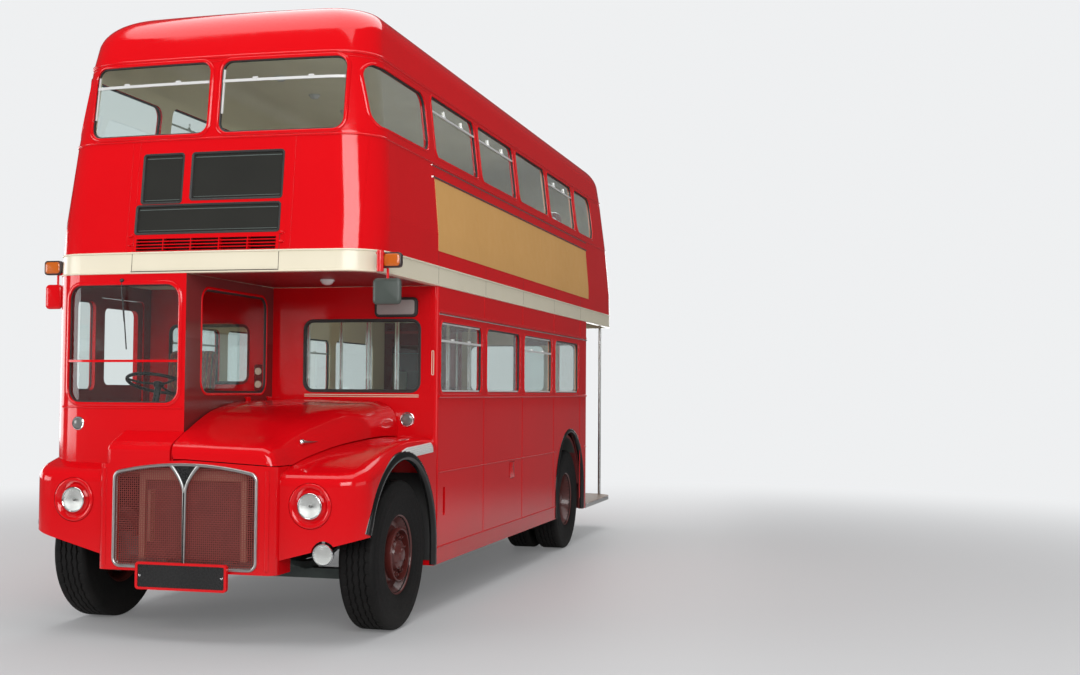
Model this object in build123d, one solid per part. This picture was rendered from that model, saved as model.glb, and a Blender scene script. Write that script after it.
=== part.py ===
"""Half-cab double decker bus with its engine in front and an open platform at the rear.

Units are millimetres, +Z is up, the bus faces -Y and its kerb side (nearside) is +X. Stations along the
bus are written as distances behind the nose, and every piece is moved forward by half the body length as
it is written, so that the origin is on the ground below the middle of the body.
"""
from math import cos, pi, radians, sin, sqrt
import os

from build123d import *

os.makedirs("parts", exist_ok=True)

# Body over its panels
BODY_LENGTH = 8382
HALF_WIDTH = 1219
WALL = 48
FIT = 0.3
SKIRT_Z = 360
PLATE_PROUD = 40

# Stations behind the nose
CAB_FRONT = 230
FRONT_AXLE = 846
BULKHEAD = 1540
BAY = 1219
BAYS = 4
REAR_AXLE = 5977
PLATFORM_START = 6750
BULKHEAD_WALL = 45

# Heights above the road
PLATFORM_Z = 400
SALOON_FLOOR_Z = 690
CAB_FLOOR_Z = 1070
FLOOR_THICK = 45
BAND_LOW_Z = 2436
BAND_HIGH_Z = 2573
CEILING_Z = 2496
UPPER_FLOOR_Z = 2556
SILL_Z = 3390
GUTTER_Z = 3955
CROWN_Z = 4381

# Wheels
TYRE_RADIUS = 515
TYRE_WIDTH = 265
RIM_RADIUS = 254
RIM_WALL = 12
FRONT_TRACK_HALF = 1068
REAR_TRACK_HALF = 1056
TWIN_SPACING = 312
SPINDLE_RADIUS = 40
KINGPIN_X = 912
KINGPIN_RADIUS = 25
RUNNING_FIT = 0.05

# Wheel arches: radius and height of the centre of the round part
FRONT_ARCH_RADIUS = 648
FRONT_ARCH_Z = 527
REAR_ARCH_RADIUS = 622
REAR_ARCH_Z = 603

# Upper deck in plan, level by level: height, half width, station of the front, station of the rear
FRONT_CORNER = 280
REAR_CORNER = 330
FRONT_BOW = 45
REAR_BOW = 40
DECK_LEVELS = [
    (BAND_LOW_Z, HALF_WIDTH, 238, BODY_LENGTH),
    (BAND_HIGH_Z, HALF_WIDTH, 246, BODY_LENGTH),
    (2830, HALF_WIDTH - 4, 275, BODY_LENGTH - 4),
    (SILL_Z, 1167, 334, BODY_LENGTH - 34),
    (GUTTER_Z, 1101, 398, BODY_LENGTH - 80),
]

# Roof: the side leans in to ROOF_SHOULDER_Z, turns over with ROOF_SHOULDER, and a shallow crown closes it
ROOF_SHOULDER_Z = 4092
ROOF_SHOULDER = 262
FRONT_DOME = 455
REAR_DOME = 420
ROOF_STEPS = 6


def block(x, y, z):
    """A box from its low and high x, y and z."""
    spans = (x, y, z)
    middle = [(low + high) / 2 for low, high in spans]
    return Pos(*middle) * Box(*[high - low for low, high in spans])


def cut_along_x(y, z, radius, x):
    """A prism along X whose round-cornered outline spans y and z."""
    outline = Pos((y[0] + y[1]) / 2, (z[0] + z[1]) / 2) * RectangleRounded(y[1] - y[0], z[1] - z[0], radius)
    return extrude(Plane.YZ.offset(x[0]) * outline, x[1] - x[0])


def cut_along_y(x, z, radius, y):
    """A prism along Y whose round-cornered outline spans x and z."""
    outline = Pos((x[0] + x[1]) / 2, (z[0] + z[1]) / 2) * RectangleRounded(x[1] - x[0], z[1] - z[0], radius)
    return extrude(Plane.XZ.offset(-y[1]) * outline, y[1] - y[0])


def face_of(plane, *points):
    """A flat face through the points, in one plane."""
    return plane * make_face(Polyline(*points, close=True))


def within(span):
    """A span made smaller at both ends by the fit of a pane in its opening."""
    return span[0] + FIT, span[1] - FIT


def disc_along_x(radius, x, y, z):
    """A round bar along X from x[0] to x[1]."""
    return Pos((x[0] + x[1]) / 2, y, z) * Rot(0, 90, 0) * Cylinder(radius, x[1] - x[0])


def post(radius, x, y, z):
    """A round bar along Z from z[0] to z[1]."""
    return Pos(x, y, (z[0] + z[1]) / 2) * Cylinder(radius, z[1] - z[0])


def disc_along_y(radius, x, y, z):
    """A round bar along Y from y[0] to y[1]."""
    return Pos(x, (y[0] + y[1]) / 2, z) * Rot(90, 0, 0) * Cylinder(radius, y[1] - y[0])


def mirrored(shape):
    """The same piece on the other side of the bus."""
    return mirror(shape, about=Plane.YZ)


def both(shape):
    """A piece and its mirror image."""
    return [shape, mirrored(shape)]


def write(name, *shapes):
    """Write one node: one solid, or like pieces that do not touch each other."""
    solids = [solid for shape in shapes for solid in shape.solids()]
    whole = solids[0] if len(solids) == 1 else Compound(children=solids)
    export_step(Pos(0, -BODY_LENGTH / 2, 0) * whole, f"parts/{name}.step")


def plan(z, half_width, front, rear, inset=0.0):
    """The body in plan at one height: straight sides, bowed front and rear, and round corners."""
    w = half_width - inset
    f = front + inset
    r = rear - inset
    with BuildSketch(Plane.XY.offset(z)) as level:
        with BuildLine():
            Line((-w, r), (-w, f))
            ThreePointArc((-w, f), (0, f - FRONT_BOW), (w, f))
            Line((w, f), (w, r))
            ThreePointArc((w, r), (0, r + REAR_BOW), (-w, r))
        make_face()
        fillet(level.vertices().group_by(Axis.Y)[0], FRONT_CORNER - inset)
        rear_corners = [v for v in level.vertices() if abs(v.Y - r) < 1]
        fillet(rear_corners, REAR_CORNER - inset)
    return level.sketch


def body_loft(rows, inset=0.0):
    """A solid through plan levels, its faces moved in by inset."""
    return loft([plan(*row, inset=inset) for row in rows], ruled=True)


def level_at(z):
    """Half width, front and rear of the upper body at height z, between the rows of DECK_LEVELS."""
    for low, high in zip(DECK_LEVELS, DECK_LEVELS[1:]):
        if low[0] <= z <= high[0]:
            share = (z - low[0]) / (high[0] - low[0])
            return [a + (b - a) * share for a, b in zip(low, high)]
    raise ValueError(f"{z} is outside the upper body")


def deck_form(inset=0.0, z_low=BAND_LOW_Z, z_high=GUTTER_Z):
    """The upper body between two heights as a solid, its faces moved in by inset."""
    rows = [level_at(z_low)]
    rows += [row for row in DECK_LEVELS if z_low < row[0] < z_high]
    rows += [level_at(z_high)]
    rear_pulled = [(z, w, f, r - REAR_BOW) for z, w, f, r in rows]
    return body_loft(rear_pulled, inset)


def roof_rows(inset=0.0):
    """Plan levels of the roof: the side and the ends follow arcs from the gutter to the crown."""
    _, gutter_half, front, rear = level_at(GUTTER_Z)
    shoulder_x = gutter_half - 20 - ROOF_SHOULDER
    rows = [(GUTTER_Z, gutter_half - inset, front + inset, rear - inset)]
    for step in range(ROOF_STEPS + 1):
        angle = radians(4 + step * 78 / ROOF_STEPS)
        z = ROOF_SHOULDER_Z + (ROOF_SHOULDER - inset) * sin(angle)
        half = shoulder_x + (ROOF_SHOULDER - inset) * cos(angle)
        top = CROWN_Z - 26 - inset
        front_rise = min(1.0, (z - GUTTER_Z) / (top - GUTTER_Z))
        front_in = (FRONT_DOME - inset) * (1 - sqrt(1 - front_rise ** 2))
        rear_in = (REAR_DOME - inset) * (1 - sqrt(1 - front_rise ** 2))
        rows.append((z, half, front + inset + front_in, rear - inset - rear_in))
    return rows


def roof_form(inset=0.0):
    """The roof above the gutter as a solid, its faces moved in by inset."""
    rows = roof_rows(inset)
    z, half, front, rear = rows[-1]
    rows.append((CROWN_Z - inset, half - 420, front + 420, rear - 420))
    return body_loft([(z, w, f, r - REAR_BOW) for z, w, f, r in rows])


# Roof: one skin with its domes, hollow below
roof = roof_form() - roof_form(WALL)
write("roof", roof)

# Upper deck walls
UPPER_FRONT_END = 1552
UPPER_REAR_START = 7520
UPPER_WALLS_LOW = BAND_HIGH_Z
upper_walls = deck_form(0, UPPER_WALLS_LOW) - deck_form(WALL, UPPER_WALLS_LOW)

# Upper side windows: y from, y to, z from, z to, corner radius
UPPER_GLASS_Z = (3430, 3904)
UPPER_SHIFT = 45
PILLAR_HALF = 52
QUARTER_WINDOW = ((440, 1490), (3440, 3870), 95)
upper_pillars = [BULKHEAD + UPPER_SHIFT + BAY * bay for bay in range(BAYS + 1)]
side_windows = [QUARTER_WINDOW]
for pillar in upper_pillars[:-1]:
    side_windows.append(((pillar + PILLAR_HALF, pillar + BAY - PILLAR_HALF), UPPER_GLASS_Z, 60))
side_windows.append(((upper_pillars[-1] + PILLAR_HALF, 7380), UPPER_GLASS_Z, 120))
WIDE_X = (-1400, 1400)

# Upper front windows
FRONT_WINDOW_X = (42, 948)
FRONT_WINDOW_Z = (3404, 3912)
FRONT_WINDOW_RADIUS = 75
FRONT_Y = (0, 900)

# Openings of the destination display, each with its x and z spans
NUMBER_BOX = ((-504, -200), (2925, 3266))
BLIND_BOX = ((-131, 540), (2942, 3266))
LOWER_BLIND = ((-535, 535), (2713, 2907))
DISPLAY_RADIUS = 18
VENT_X = (-520, 520)
VENT_Z = (2594, 2676)
VENT_BARS = 3
VENT_TIES = 4
VENT_BAR = 7

# Emergency window at the back of the upper deck
EMERGENCY_X = (-560, 560)
EMERGENCY_Z = (3250, 3890)
EMERGENCY_RADIUS = 90
REAR_Y = (7900, 8500)

for window_y, window_z, radius in side_windows:
    upper_walls -= cut_along_x(window_y, window_z, radius, WIDE_X)
for side in (-1, 1):
    span = sorted(side * x for x in FRONT_WINDOW_X)
    upper_walls -= cut_along_y(span, FRONT_WINDOW_Z, FRONT_WINDOW_RADIUS, FRONT_Y)
for span_x, span_z in (NUMBER_BOX, BLIND_BOX, LOWER_BLIND):
    upper_walls -= cut_along_y(span_x, span_z, DISPLAY_RADIUS, FRONT_Y)
vent_row = (VENT_Z[1] - VENT_Z[0] - VENT_BARS * VENT_BAR) / (VENT_BARS + 1)
vent_column = (VENT_X[1] - VENT_X[0] - VENT_TIES * VENT_BAR) / (VENT_TIES + 1)
for row in range(VENT_BARS + 1):
    for column in range(VENT_TIES + 1):
        low_x = VENT_X[0] + column * (vent_column + VENT_BAR)
        low_z = VENT_Z[0] + row * (vent_row + VENT_BAR)
        upper_walls -= block((low_x, low_x + vent_column), FRONT_Y, (low_z, low_z + vent_row))
upper_walls -= cut_along_y(EMERGENCY_X, EMERGENCY_Z, EMERGENCY_RADIUS, REAR_Y)

ALL_Z = (0, 5000)
write("upper_front", upper_walls & block(WIDE_X, (0, UPPER_FRONT_END), ALL_Z))
middle = upper_walls & block(WIDE_X, (UPPER_FRONT_END, UPPER_REAR_START), ALL_Z)
write("upper_sides", *middle.solids())
write("upper_rear", upper_walls & block(WIDE_X, (UPPER_REAR_START, 9000), ALL_Z))

# Waist band between the decks, all round
write("waist_band", deck_form(0, BAND_LOW_Z, BAND_HIGH_Z) - deck_form(WALL, BAND_LOW_Z, BAND_HIGH_Z))

# Upper floor inside the band, with the stairwell cut at the rear offside
STAIRWELL_X = (-1400, -430)
STAIRWELL_Y = (6480, 8080)
upper_floor = deck_form(WALL, CEILING_Z, UPPER_FLOOR_Z) - block(STAIRWELL_X, STAIRWELL_Y, ALL_Z)
write("upper_floor", upper_floor)

# Mouldings: the gutter, the trims of the band and the sill, each a ring round the upper body
RING_PROUD = 9


def ring(z_low, z_high, proud=RING_PROUD):
    """A moulding round the whole upper body between two heights."""
    return deck_form(-proud, z_low, z_high) - deck_form(-FIT, z_low, z_high)


mouldings = [ring(z, z + height) for z, height in
             ((BAND_LOW_Z, 14), (BAND_HIGH_Z, 14), (SILL_Z - 30, 16), (GUTTER_Z - 20, 20))]

# Glass, cut from a thin layer within the wall
GLASS = 6
GLASS_INSET = 16
glass_layer = deck_form(GLASS_INSET, BAND_HIGH_Z) - deck_form(GLASS_INSET + GLASS, BAND_HIGH_Z)
panes = []
for window_y, window_z, radius in side_windows:
    panes += (glass_layer & cut_along_x(within(window_y), within(window_z), radius - FIT, WIDE_X)).solids()
for side in (-1, 1):
    span = sorted(side * x for x in within(FRONT_WINDOW_X))
    pane = cut_along_y(span, within(FRONT_WINDOW_Z), FRONT_WINDOW_RADIUS - FIT, FRONT_Y)
    panes += (glass_layer & pane).solids()

# Lower deck side walls
SIDE_GLASS_Z = (1640, 2172)
lower_pillars = [BULKHEAD + BAY * bay for bay in range(BAYS + 1)]
lower_windows = [((pillar + 75, pillar + BAY - 75), SIDE_GLASS_Z, 62) for pillar in lower_pillars[:-1]]


def arch(station, centre_z, radius, x):
    """The opening of a wheel arch: a round top that runs straight down to the ground."""
    opening = disc_along_x(radius, x, station, centre_z)
    return opening + block(x, (station - radius, station + radius), (-100, centre_z))


def side_wall(y_from, y_to):
    """One flat lower side wall with its windows and the rear wheel arch, on the nearside."""
    wall = block((HALF_WIDTH - WALL, HALF_WIDTH), (y_from, y_to), (SKIRT_Z, BAND_LOW_Z))
    front_edge = wall.edges().filter_by(Axis.Z).sort_by(Axis.X)[-2:].sort_by(Axis.Y)[0]
    wall = fillet(front_edge, 30)
    for window_y, window_z, radius in lower_windows:
        wall -= cut_along_x(window_y, window_z, radius, (0, 1400))
    return wall - arch(REAR_AXLE, REAR_ARCH_Z, REAR_ARCH_RADIUS, (0, 1400))


near_side = side_wall(BULKHEAD, PLATFORM_START)
HANDHOLD_Y = (1695, 1749)
HANDHOLD_Z = (711, 926)
near_side -= cut_along_x(HANDHOLD_Y, HANDHOLD_Z, 22, (HALF_WIDTH - 30, 1400))
write("near_lower_side", near_side)
off_side = mirrored(side_wall(BULKHEAD, BODY_LENGTH - REAR_CORNER))
write("off_lower_side", off_side)

panes_lower = []
for window_y, window_z, radius in lower_windows:
    x = (HALF_WIDTH - GLASS_INSET - GLASS, HALF_WIDTH - GLASS_INSET)
    panes_lower += both(cut_along_x(within(window_y), within(window_z), radius - FIT, x))
panes += panes_lower

# Front bulkhead between the cab, the bonnet and the saloon
SALOON_FRONT_WINDOW = ((145, 1077), (1644, 2182), 70)
bulkhead_x = (-(HALF_WIDTH - WALL), HALF_WIDTH - WALL)
bulkhead = block(bulkhead_x, (BULKHEAD, BULKHEAD + BULKHEAD_WALL), (SALOON_FLOOR_Z - FLOOR_THICK, BAND_LOW_Z))
bulkhead_y = (BULKHEAD - 100, BULKHEAD + 200)
bulkhead -= cut_along_y(SALOON_FRONT_WINDOW[0], SALOON_FRONT_WINDOW[1], SALOON_FRONT_WINDOW[2], bulkhead_y)
CAB_REAR_WINDOW = ((-1000, -330), (1700, 2150), 60)
bulkhead -= cut_along_y(CAB_REAR_WINDOW[0], CAB_REAR_WINDOW[1], CAB_REAR_WINDOW[2], bulkhead_y)
write("front_bulkhead", bulkhead)
bulkhead_glass_y = (BULKHEAD + GLASS_INSET, BULKHEAD + GLASS_INSET + GLASS)
for span_x, span_z, radius in (SALOON_FRONT_WINDOW, CAB_REAR_WINDOW):
    panes.append(cut_along_y(within(span_x), within(span_z), radius - FIT, bulkhead_glass_y))

# Rear bulkhead between the saloon and the platform, with its open doorway and two windows
DOORWAY_X = (-380, 380)
DOORWAY_TOP = 2330
rear_bulkhead_y = (PLATFORM_START - BULKHEAD_WALL, PLATFORM_START)
rear_bulkhead = block(bulkhead_x, rear_bulkhead_y, (SALOON_FLOOR_Z, BAND_LOW_Z))
rear_cut_y = (PLATFORM_START - 200, PLATFORM_START + 200)
rear_bulkhead -= block(DOORWAY_X, rear_cut_y, (0, DOORWAY_TOP))
REAR_BULKHEAD_WINDOWS = [((480, 1080), SIDE_GLASS_Z, 60), ((-1080, -480), SIDE_GLASS_Z, 60)]
for span_x, span_z, radius in REAR_BULKHEAD_WINDOWS:
    rear_bulkhead -= cut_along_y(span_x, span_z, radius, rear_cut_y)
    pane_y = (PLATFORM_START - GLASS_INSET - GLASS, PLATFORM_START - GLASS_INSET)
    panes.append(cut_along_y(within(span_x), within(span_z), radius - FIT, pane_y))
write("rear_bulkhead", rear_bulkhead)

# Rear wall of the platform, from the offside round the corner, open at the kerb side
REAR_WALL_END_X = 520
REAR_WINDOW = ((-640, 330), (1640, 2230), 90)
body_plan = [(z, HALF_WIDTH, CAB_FRONT, BODY_LENGTH - REAR_BOW) for z in (SKIRT_Z, BAND_LOW_Z)]
lower_form = body_loft(body_plan)
lower_inner = body_loft(body_plan, WALL)
lower_ring = lower_form - lower_inner
rear_wall = lower_ring & block((-1400, REAR_WALL_END_X), (BODY_LENGTH - REAR_CORNER, 9000), ALL_Z)
rear_wall -= cut_along_y(REAR_WINDOW[0], REAR_WINDOW[1], REAR_WINDOW[2], REAR_Y)
write("rear_lower_wall", rear_wall)
lower_glass = body_loft(body_plan, GLASS_INSET)
lower_glass -= body_loft(body_plan, GLASS_INSET + GLASS)
rear_pane = cut_along_y(within(REAR_WINDOW[0]), within(REAR_WINDOW[1]), REAR_WINDOW[2] - FIT, REAR_Y)
panes += (lower_glass & rear_pane).solids()

# Front wings
WING_INNER = 648
WING_FRONT = 62
WING_SKIN = 26
WING_CORNER = 190
WING_CREST = 95
WING_REAR = BULKHEAD - FIT


def wing_side(inset=0.0):
    """A front wing seen from the side, its edges moved in by inset, or out if that is negative."""
    front = WING_FRONT + inset
    rear = WING_REAR - (50 if inset > 0 else 0)
    with BuildSketch(Plane.YZ.offset(WING_INNER + min(0, inset))) as side:
        with BuildLine():
            Line((rear, SKIRT_Z - inset), (front, SKIRT_Z - inset))
            Line((front, SKIRT_Z - inset), (front, 1092 - inset))
            ThreePointArc((front, 1092 - inset), (620, 1246 - inset), (rear, 1302 - inset))
            Line((rear, 1302 - inset), (rear, SKIRT_Z - inset))
        make_face()
    return side.sketch


def wing_form(inset=0.0):
    """A front wing as a solid with a domed top, its front and crest edges rounded."""
    form = extrude(wing_side(inset), HALF_WIDTH - inset - WING_INNER)
    corner = form.edges().filter_by(Axis.Z).group_by(Axis.X)[-1].sort_by(Axis.Y)[0]
    form = fillet(corner, WING_CORNER - inset)
    crest = form.faces().sort_by(Axis.Z)[-1].outer_wire().edges()
    crest = crest.filter_by(lambda e: e.center().X > WING_INNER + 20 and e.center().Y < WING_REAR - 100)
    return fillet(crest, WING_CREST - inset)


wing_solid = wing_form()
hollow = wing_form(WING_SKIN)
inner_opening_y = (WING_FRONT + WING_SKIN, WING_REAR - 50)
hollow += block((WING_INNER - 10, WING_INNER + 60), inner_opening_y, (SKIRT_Z - 40, 1000))
wing = wing_solid - hollow
wing -= arch(FRONT_AXLE, FRONT_ARCH_Z, FRONT_ARCH_RADIUS, (0, 1400))
low_edge = Plane.XZ * make_face(Polyline((600, 0), (1400, 0), (1400, 747), (600, 531), close=True))
wing -= extrude(low_edge, -FRONT_AXLE)

# Inside the cab the offside wing has no skin: the cab floor closes it
CAB_FLOOR_THICK = 25
CAB_INNER_X = -120
CAB_LOW = CAB_FLOOR_Z - CAB_FLOOR_THICK - FIT
cab_plan = [(z, HALF_WIDTH, CAB_FRONT + 8, BODY_LENGTH - REAR_BOW) for z in (CAB_LOW, BAND_LOW_Z)]
cab_room = body_loft(cab_plan, WALL) & block((-1400, 0), (0, BULKHEAD), ALL_Z)

# Headlamps sit in round recesses, and the fog lamp in a notch of the lower edge
LAMP_X = 861
LAMP_Z = 901
LAMP_RADIUS = 88
LAMP_RECESS = 150
LAMP_DEPTH = 16
FOG_X = 956
FOG_Z = 593
FOG_RADIUS = 72
FOG_GAP = 14
wing -= disc_along_y(LAMP_RECESS, LAMP_X, (0, WING_FRONT + LAMP_DEPTH), LAMP_Z)
near_wing = wing - disc_along_y(FOG_RADIUS + FOG_GAP, FOG_X, (0, WING_FRONT + WING_SKIN + 200), FOG_Z)
off_wing = mirrored(wing) - cab_room

# Nose cowl with the grille opening and the holder of the blank number plate
NOSE_HALF = 648
NOSE_DEPTH = CAB_FRONT + 8
NOSE_LOW = 452
NOSE_TOP = 1184
NOSE_FALL = 34
NOSE_SKIN = 24
NOSE_EDGE = 70
GRILLE_HALF = 526
GRILLE_LOW = 470
GRILLE_SIDE_TOP = 1105
GRILLE_TOP = 1165
GRILLE_CORNER = 62
PLATE_X = (-312, 312)
PLATE_Z = (353, 500)
PLATE_THICK = 12


def grille_outline(inset=0.0):
    """The grille's outline: upright sides, a low crown on top and round corners."""
    w = GRILLE_HALF - inset
    side_top = GRILLE_SIDE_TOP - inset
    with BuildSketch(Plane.XZ) as face:
        with BuildLine():
            Line((-w, side_top), (-w, GRILLE_LOW + inset))
            Line((-w, GRILLE_LOW + inset), (w, GRILLE_LOW + inset))
            Line((w, GRILLE_LOW + inset), (w, side_top))
            ThreePointArc((w, side_top), (0, GRILLE_TOP - inset), (-w, side_top))
        make_face()
        fillet(face.vertices(), GRILLE_CORNER - inset)
    return face.sketch


nose_outer = block((-NOSE_HALF, NOSE_HALF), (0, NOSE_DEPTH), (NOSE_LOW, NOSE_TOP))
nose_outer = fillet(nose_outer.edges().filter_by(Axis.Z).group_by(Axis.Y)[0], NOSE_EDGE)
nose_inner = block((-NOSE_HALF + NOSE_SKIN, NOSE_HALF - NOSE_SKIN), (NOSE_SKIN, NOSE_DEPTH + 10),
                   (0, NOSE_TOP + 100))
nose_inner = fillet(nose_inner.edges().filter_by(Axis.Z).group_by(Axis.Y)[0], NOSE_EDGE - NOSE_SKIN)
nose = nose_outer - nose_inner


def above_nose(side, gap=0.0):
    """What lies over the nose's top edge on one side, where that edge falls as the grille's does."""
    far = side * (NOSE_HALF + 60)
    far_z = NOSE_TOP - NOSE_FALL * (NOSE_HALF + 60) / NOSE_HALF + gap
    outline = face_of(Plane.XZ, (0, NOSE_TOP + gap), (far, far_z), (far, CROWN_Z), (0, CROWN_Z))
    return extrude(outline, -NOSE_DEPTH - 60)


nose = nose - above_nose(-1) - above_nose(1)

# Scuttle beside the bonnet: a sheet that rises from the nose to the cab front, closed at its outer end
SCUTTLE_X = (-592, -117)
SCUTTLE_SKIN = 16
# Station and height along the middle of the scuttle
SCUTTLE_RISE = [(6, 1246), (18, 1274), (50, 1298), (NOSE_DEPTH + 20, 1396)]


def scuttle_form(inset=0.0):
    """The scuttle as a solid, its faces moved in by inset and its foot down to the nose."""
    foot = NOSE_TOP - NOSE_FALL - 2 * inset
    side = [(SCUTTLE_RISE[0][0] + inset, foot)] + [(y + inset, z - inset) for y, z in SCUTTLE_RISE]
    side.append((SCUTTLE_RISE[-1][0] + inset, foot))
    outline = face_of(Plane.YZ.offset(SCUTTLE_X[0] + inset), *side)
    return extrude(outline, SCUTTLE_X[1] - SCUTTLE_X[0] - 2 * inset)


scuttle = scuttle_form()
end_edges = scuttle.faces().sort_by(Axis.X)[0].outer_wire().edges()
end_edges = end_edges.filter_by(lambda e: e.center().Z > NOSE_TOP + 10 and e.center().Y < NOSE_DEPTH)
scuttle = fillet(end_edges, 40)
ledge = block((-NOSE_HALF + NOSE_SKIN - 1, SCUTTLE_X[0] + SCUTTLE_SKIN), (NOSE_SKIN - 1, NOSE_DEPTH),
              (NOSE_TOP - NOSE_FALL - NOSE_SKIN, NOSE_TOP - NOSE_FALL))
nose += scuttle - scuttle_form(SCUTTLE_SKIN) + ledge
nose -= extrude(grille_outline(), -NOSE_SKIN * 2)
GRILLE_PROUD = 14
holder_y = (-PLATE_PROUD, -GRILLE_PROUD - FIT)
holder = cut_along_y((PLATE_X[0] - 18, PLATE_X[1] + 18), (PLATE_Z[0] - 16, PLATE_Z[1] + 16), 24, holder_y)
holder -= cut_along_y(PLATE_X, PLATE_Z, 10, (-PLATE_PROUD - 10, -PLATE_PROUD + PLATE_THICK + 4))
TONGUE_X = (-120, 120)
TONGUE_Z = 375
holder += block(TONGUE_X, (holder_y[1] - 2, 40), (TONGUE_Z, TONGUE_Z + 20))
holder += block(TONGUE_X, (0, NOSE_SKIN), (TONGUE_Z, NOSE_LOW + 12))
nose += holder
nose -= body_loft(cab_plan, -FIT) & block((-1400, 0), (0, BULKHEAD), (NOSE_TOP, BAND_LOW_Z))
write("nose_cowl", nose)
plate_y = (-PLATE_PROUD + 4, -PLATE_PROUD + 4 + PLATE_THICK - FIT)
front_plate = cut_along_y(within(PLATE_X), within(PLATE_Z), 10 - FIT, plate_y)
REAR_PLATE_Z = (820, 960)
rear_plate = cut_along_y((-300, 300), REAR_PLATE_Z, 8, (BODY_LENGTH, BODY_LENGTH + PLATE_PROUD))
rear_plate -= lower_form
write("number_plates", front_plate, rear_plate)

# Grille: polished frame, centre bar, the V at the top and the mesh behind
FRAME_BAR = 20
BAR_HALF = 9
V_HALF = 108
V_LOW = 977
grille_frame = extrude(grille_outline(FIT), GRILLE_PROUD) + extrude(grille_outline(FIT), -NOSE_SKIN)
grille_frame -= extrude(grille_outline(FIT + FRAME_BAR), 100) + extrude(grille_outline(FIT + FRAME_BAR), -100)
bar_low = GRILLE_LOW + 8
v_face = face_of(Plane.XZ, (-V_HALF, GRILLE_TOP - 8), (V_HALF, GRILLE_TOP - 8), (BAR_HALF, V_LOW),
                 (BAR_HALF, bar_low), (-BAR_HALF, bar_low), (-BAR_HALF, V_LOW))
v_hole = face_of(Plane.XZ, (-V_HALF + 30, GRILLE_TOP - 30), (V_HALF - 30, GRILLE_TOP - 30), (0, V_LOW + 48))
grille_v = extrude(v_face, GRILLE_PROUD) + extrude(v_face, -8)
grille_v -= extrude(v_hole, 60)
grille = grille_frame + grille_v
# Woven mesh: upright wires in front of level ones, each let into the frame at both ends
MESH_PITCH = 17.5
MESH_WIRE = 4
opening = grille_outline(FRAME_BAR - 4)
upright_layer = extrude(opening, -6) - extrude(opening, -6 + MESH_WIRE)
level_layer = extrude(opening, -10.5) - extrude(opening, -10.5 + MESH_WIRE)
uprights = int((GRILLE_HALF - FRAME_BAR - 2 * MESH_WIRE) / MESH_PITCH)
wires = []
for column in range(-uprights, uprights + 1):
    x = column * MESH_PITCH
    if abs(x) > BAR_HALF + MESH_WIRE:
        wires.append(block((x - MESH_WIRE / 2, x + MESH_WIRE / 2), (0, 12), (0, 1300)) & upright_layer)
levels = int((GRILLE_TOP - GRILLE_LOW - FRAME_BAR - 2 * MESH_WIRE) / MESH_PITCH)
for row in range(2, levels + 1):
    z = GRILLE_LOW + row * MESH_PITCH
    wire_z = (z - MESH_WIRE / 2, z + MESH_WIRE / 2)
    wires.append(block((-GRILLE_HALF, GRILLE_HALF), (0, 12), wire_z) & level_layer)
grille = grille.fuse(*wires)
write("grille", grille)

# Radiator behind the grille and the engine behind it
RADIATOR_Z = (520, 1120)
ENGINE_HALF = 330
write("radiator", block((-390, 390), (130, 200), RADIATOR_Z))
write("engine", block((-ENGINE_HALF, ENGINE_HALF), (310, 1480), (480, 1170)))

# Bonnet: a pressed sheet that rises and widens from the nose to the bulkhead, hinged along the cab wall
BONNET_LEFT = -104
BONNET_SKIN = 14
BONNET_GAP = 6
# Station, height of the cab side, corner x and z before it is rounded, rounding, lower x and z, flange z
BONNET_SECTIONS = [
    (8, 1246, 560, 1232, 38, 596, 1120, 1180),
    (20, 1274, 584, 1258, 42, 628, 1120, 1185),
    (50, 1298, 600, 1281, 46, 645, 1120, 1190),
    (240, 1388, 614, 1330, 55, 668, 1130, 1280),
    (600, 1516, 684, 1447, 80, 762, 1200, 1400),
    (1050, 1570, 850, 1535, 120, 872, 1230, 1460),
    (BULKHEAD - 8, 1578, 905, 1563, 130, 905, 1230, 1470),
]


def bonnet_section(row, inset=0.0):
    """One upright section of the bonnet, its crease rounded and its faces moved in by inset."""
    y, side_z, corner_x, corner_z, rounding, low_x, low_z, flange_z = row
    with BuildSketch(Plane.XZ.offset(-y)) as face:
        with BuildLine():
            Polyline((BONNET_LEFT + inset, flange_z - 6 * inset), (BONNET_LEFT + inset, side_z - inset),
                     (corner_x - inset, corner_z - inset), (low_x - inset, low_z - 6 * inset), close=True)
        make_face()
        crease = face.vertices().sort_by(Axis.X)[-2:].sort_by(Axis.Z)[-1]
        fillet(crease, rounding - inset)
    return face.sketch


bonnet = loft([bonnet_section(row) for row in BONNET_SECTIONS], ruled=True)
inner_rows = [(row[0] + BONNET_SKIN, *row[1:]) for row in BONNET_SECTIONS]
bonnet -= loft([bonnet_section(row, BONNET_SKIN) for row in inner_rows], ruled=True)
bonnet -= extrude(wing_side(-BONNET_GAP), HALF_WIDTH - WING_INNER)
nose_deep = (0, NOSE_DEPTH + 2)
bonnet -= block((0, NOSE_HALF + 60), nose_deep, (0, NOSE_TOP + 60)) - above_nose(1, BONNET_GAP)
bonnet -= block((BONNET_LEFT - 1, 0), nose_deep, (0, NOSE_TOP + BONNET_GAP))
BONNET_KNUCKLE = 8
BONNET_HINGE = (CAB_INNER_X + BONNET_KNUCKLE + FIT, BONNET_SECTIONS[-1][1] + BONNET_KNUCKLE + 6)
for y in (1080, 1440):
    bonnet += disc_along_y(BONNET_KNUCKLE, BONNET_HINGE[0], (y, y + 60), BONNET_HINGE[1])
    bonnet += block((BONNET_HINGE[0], BONNET_LEFT + 4), (y, y + 60), (1555, BONNET_HINGE[1]))
write("bonnet", bonnet)

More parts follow.
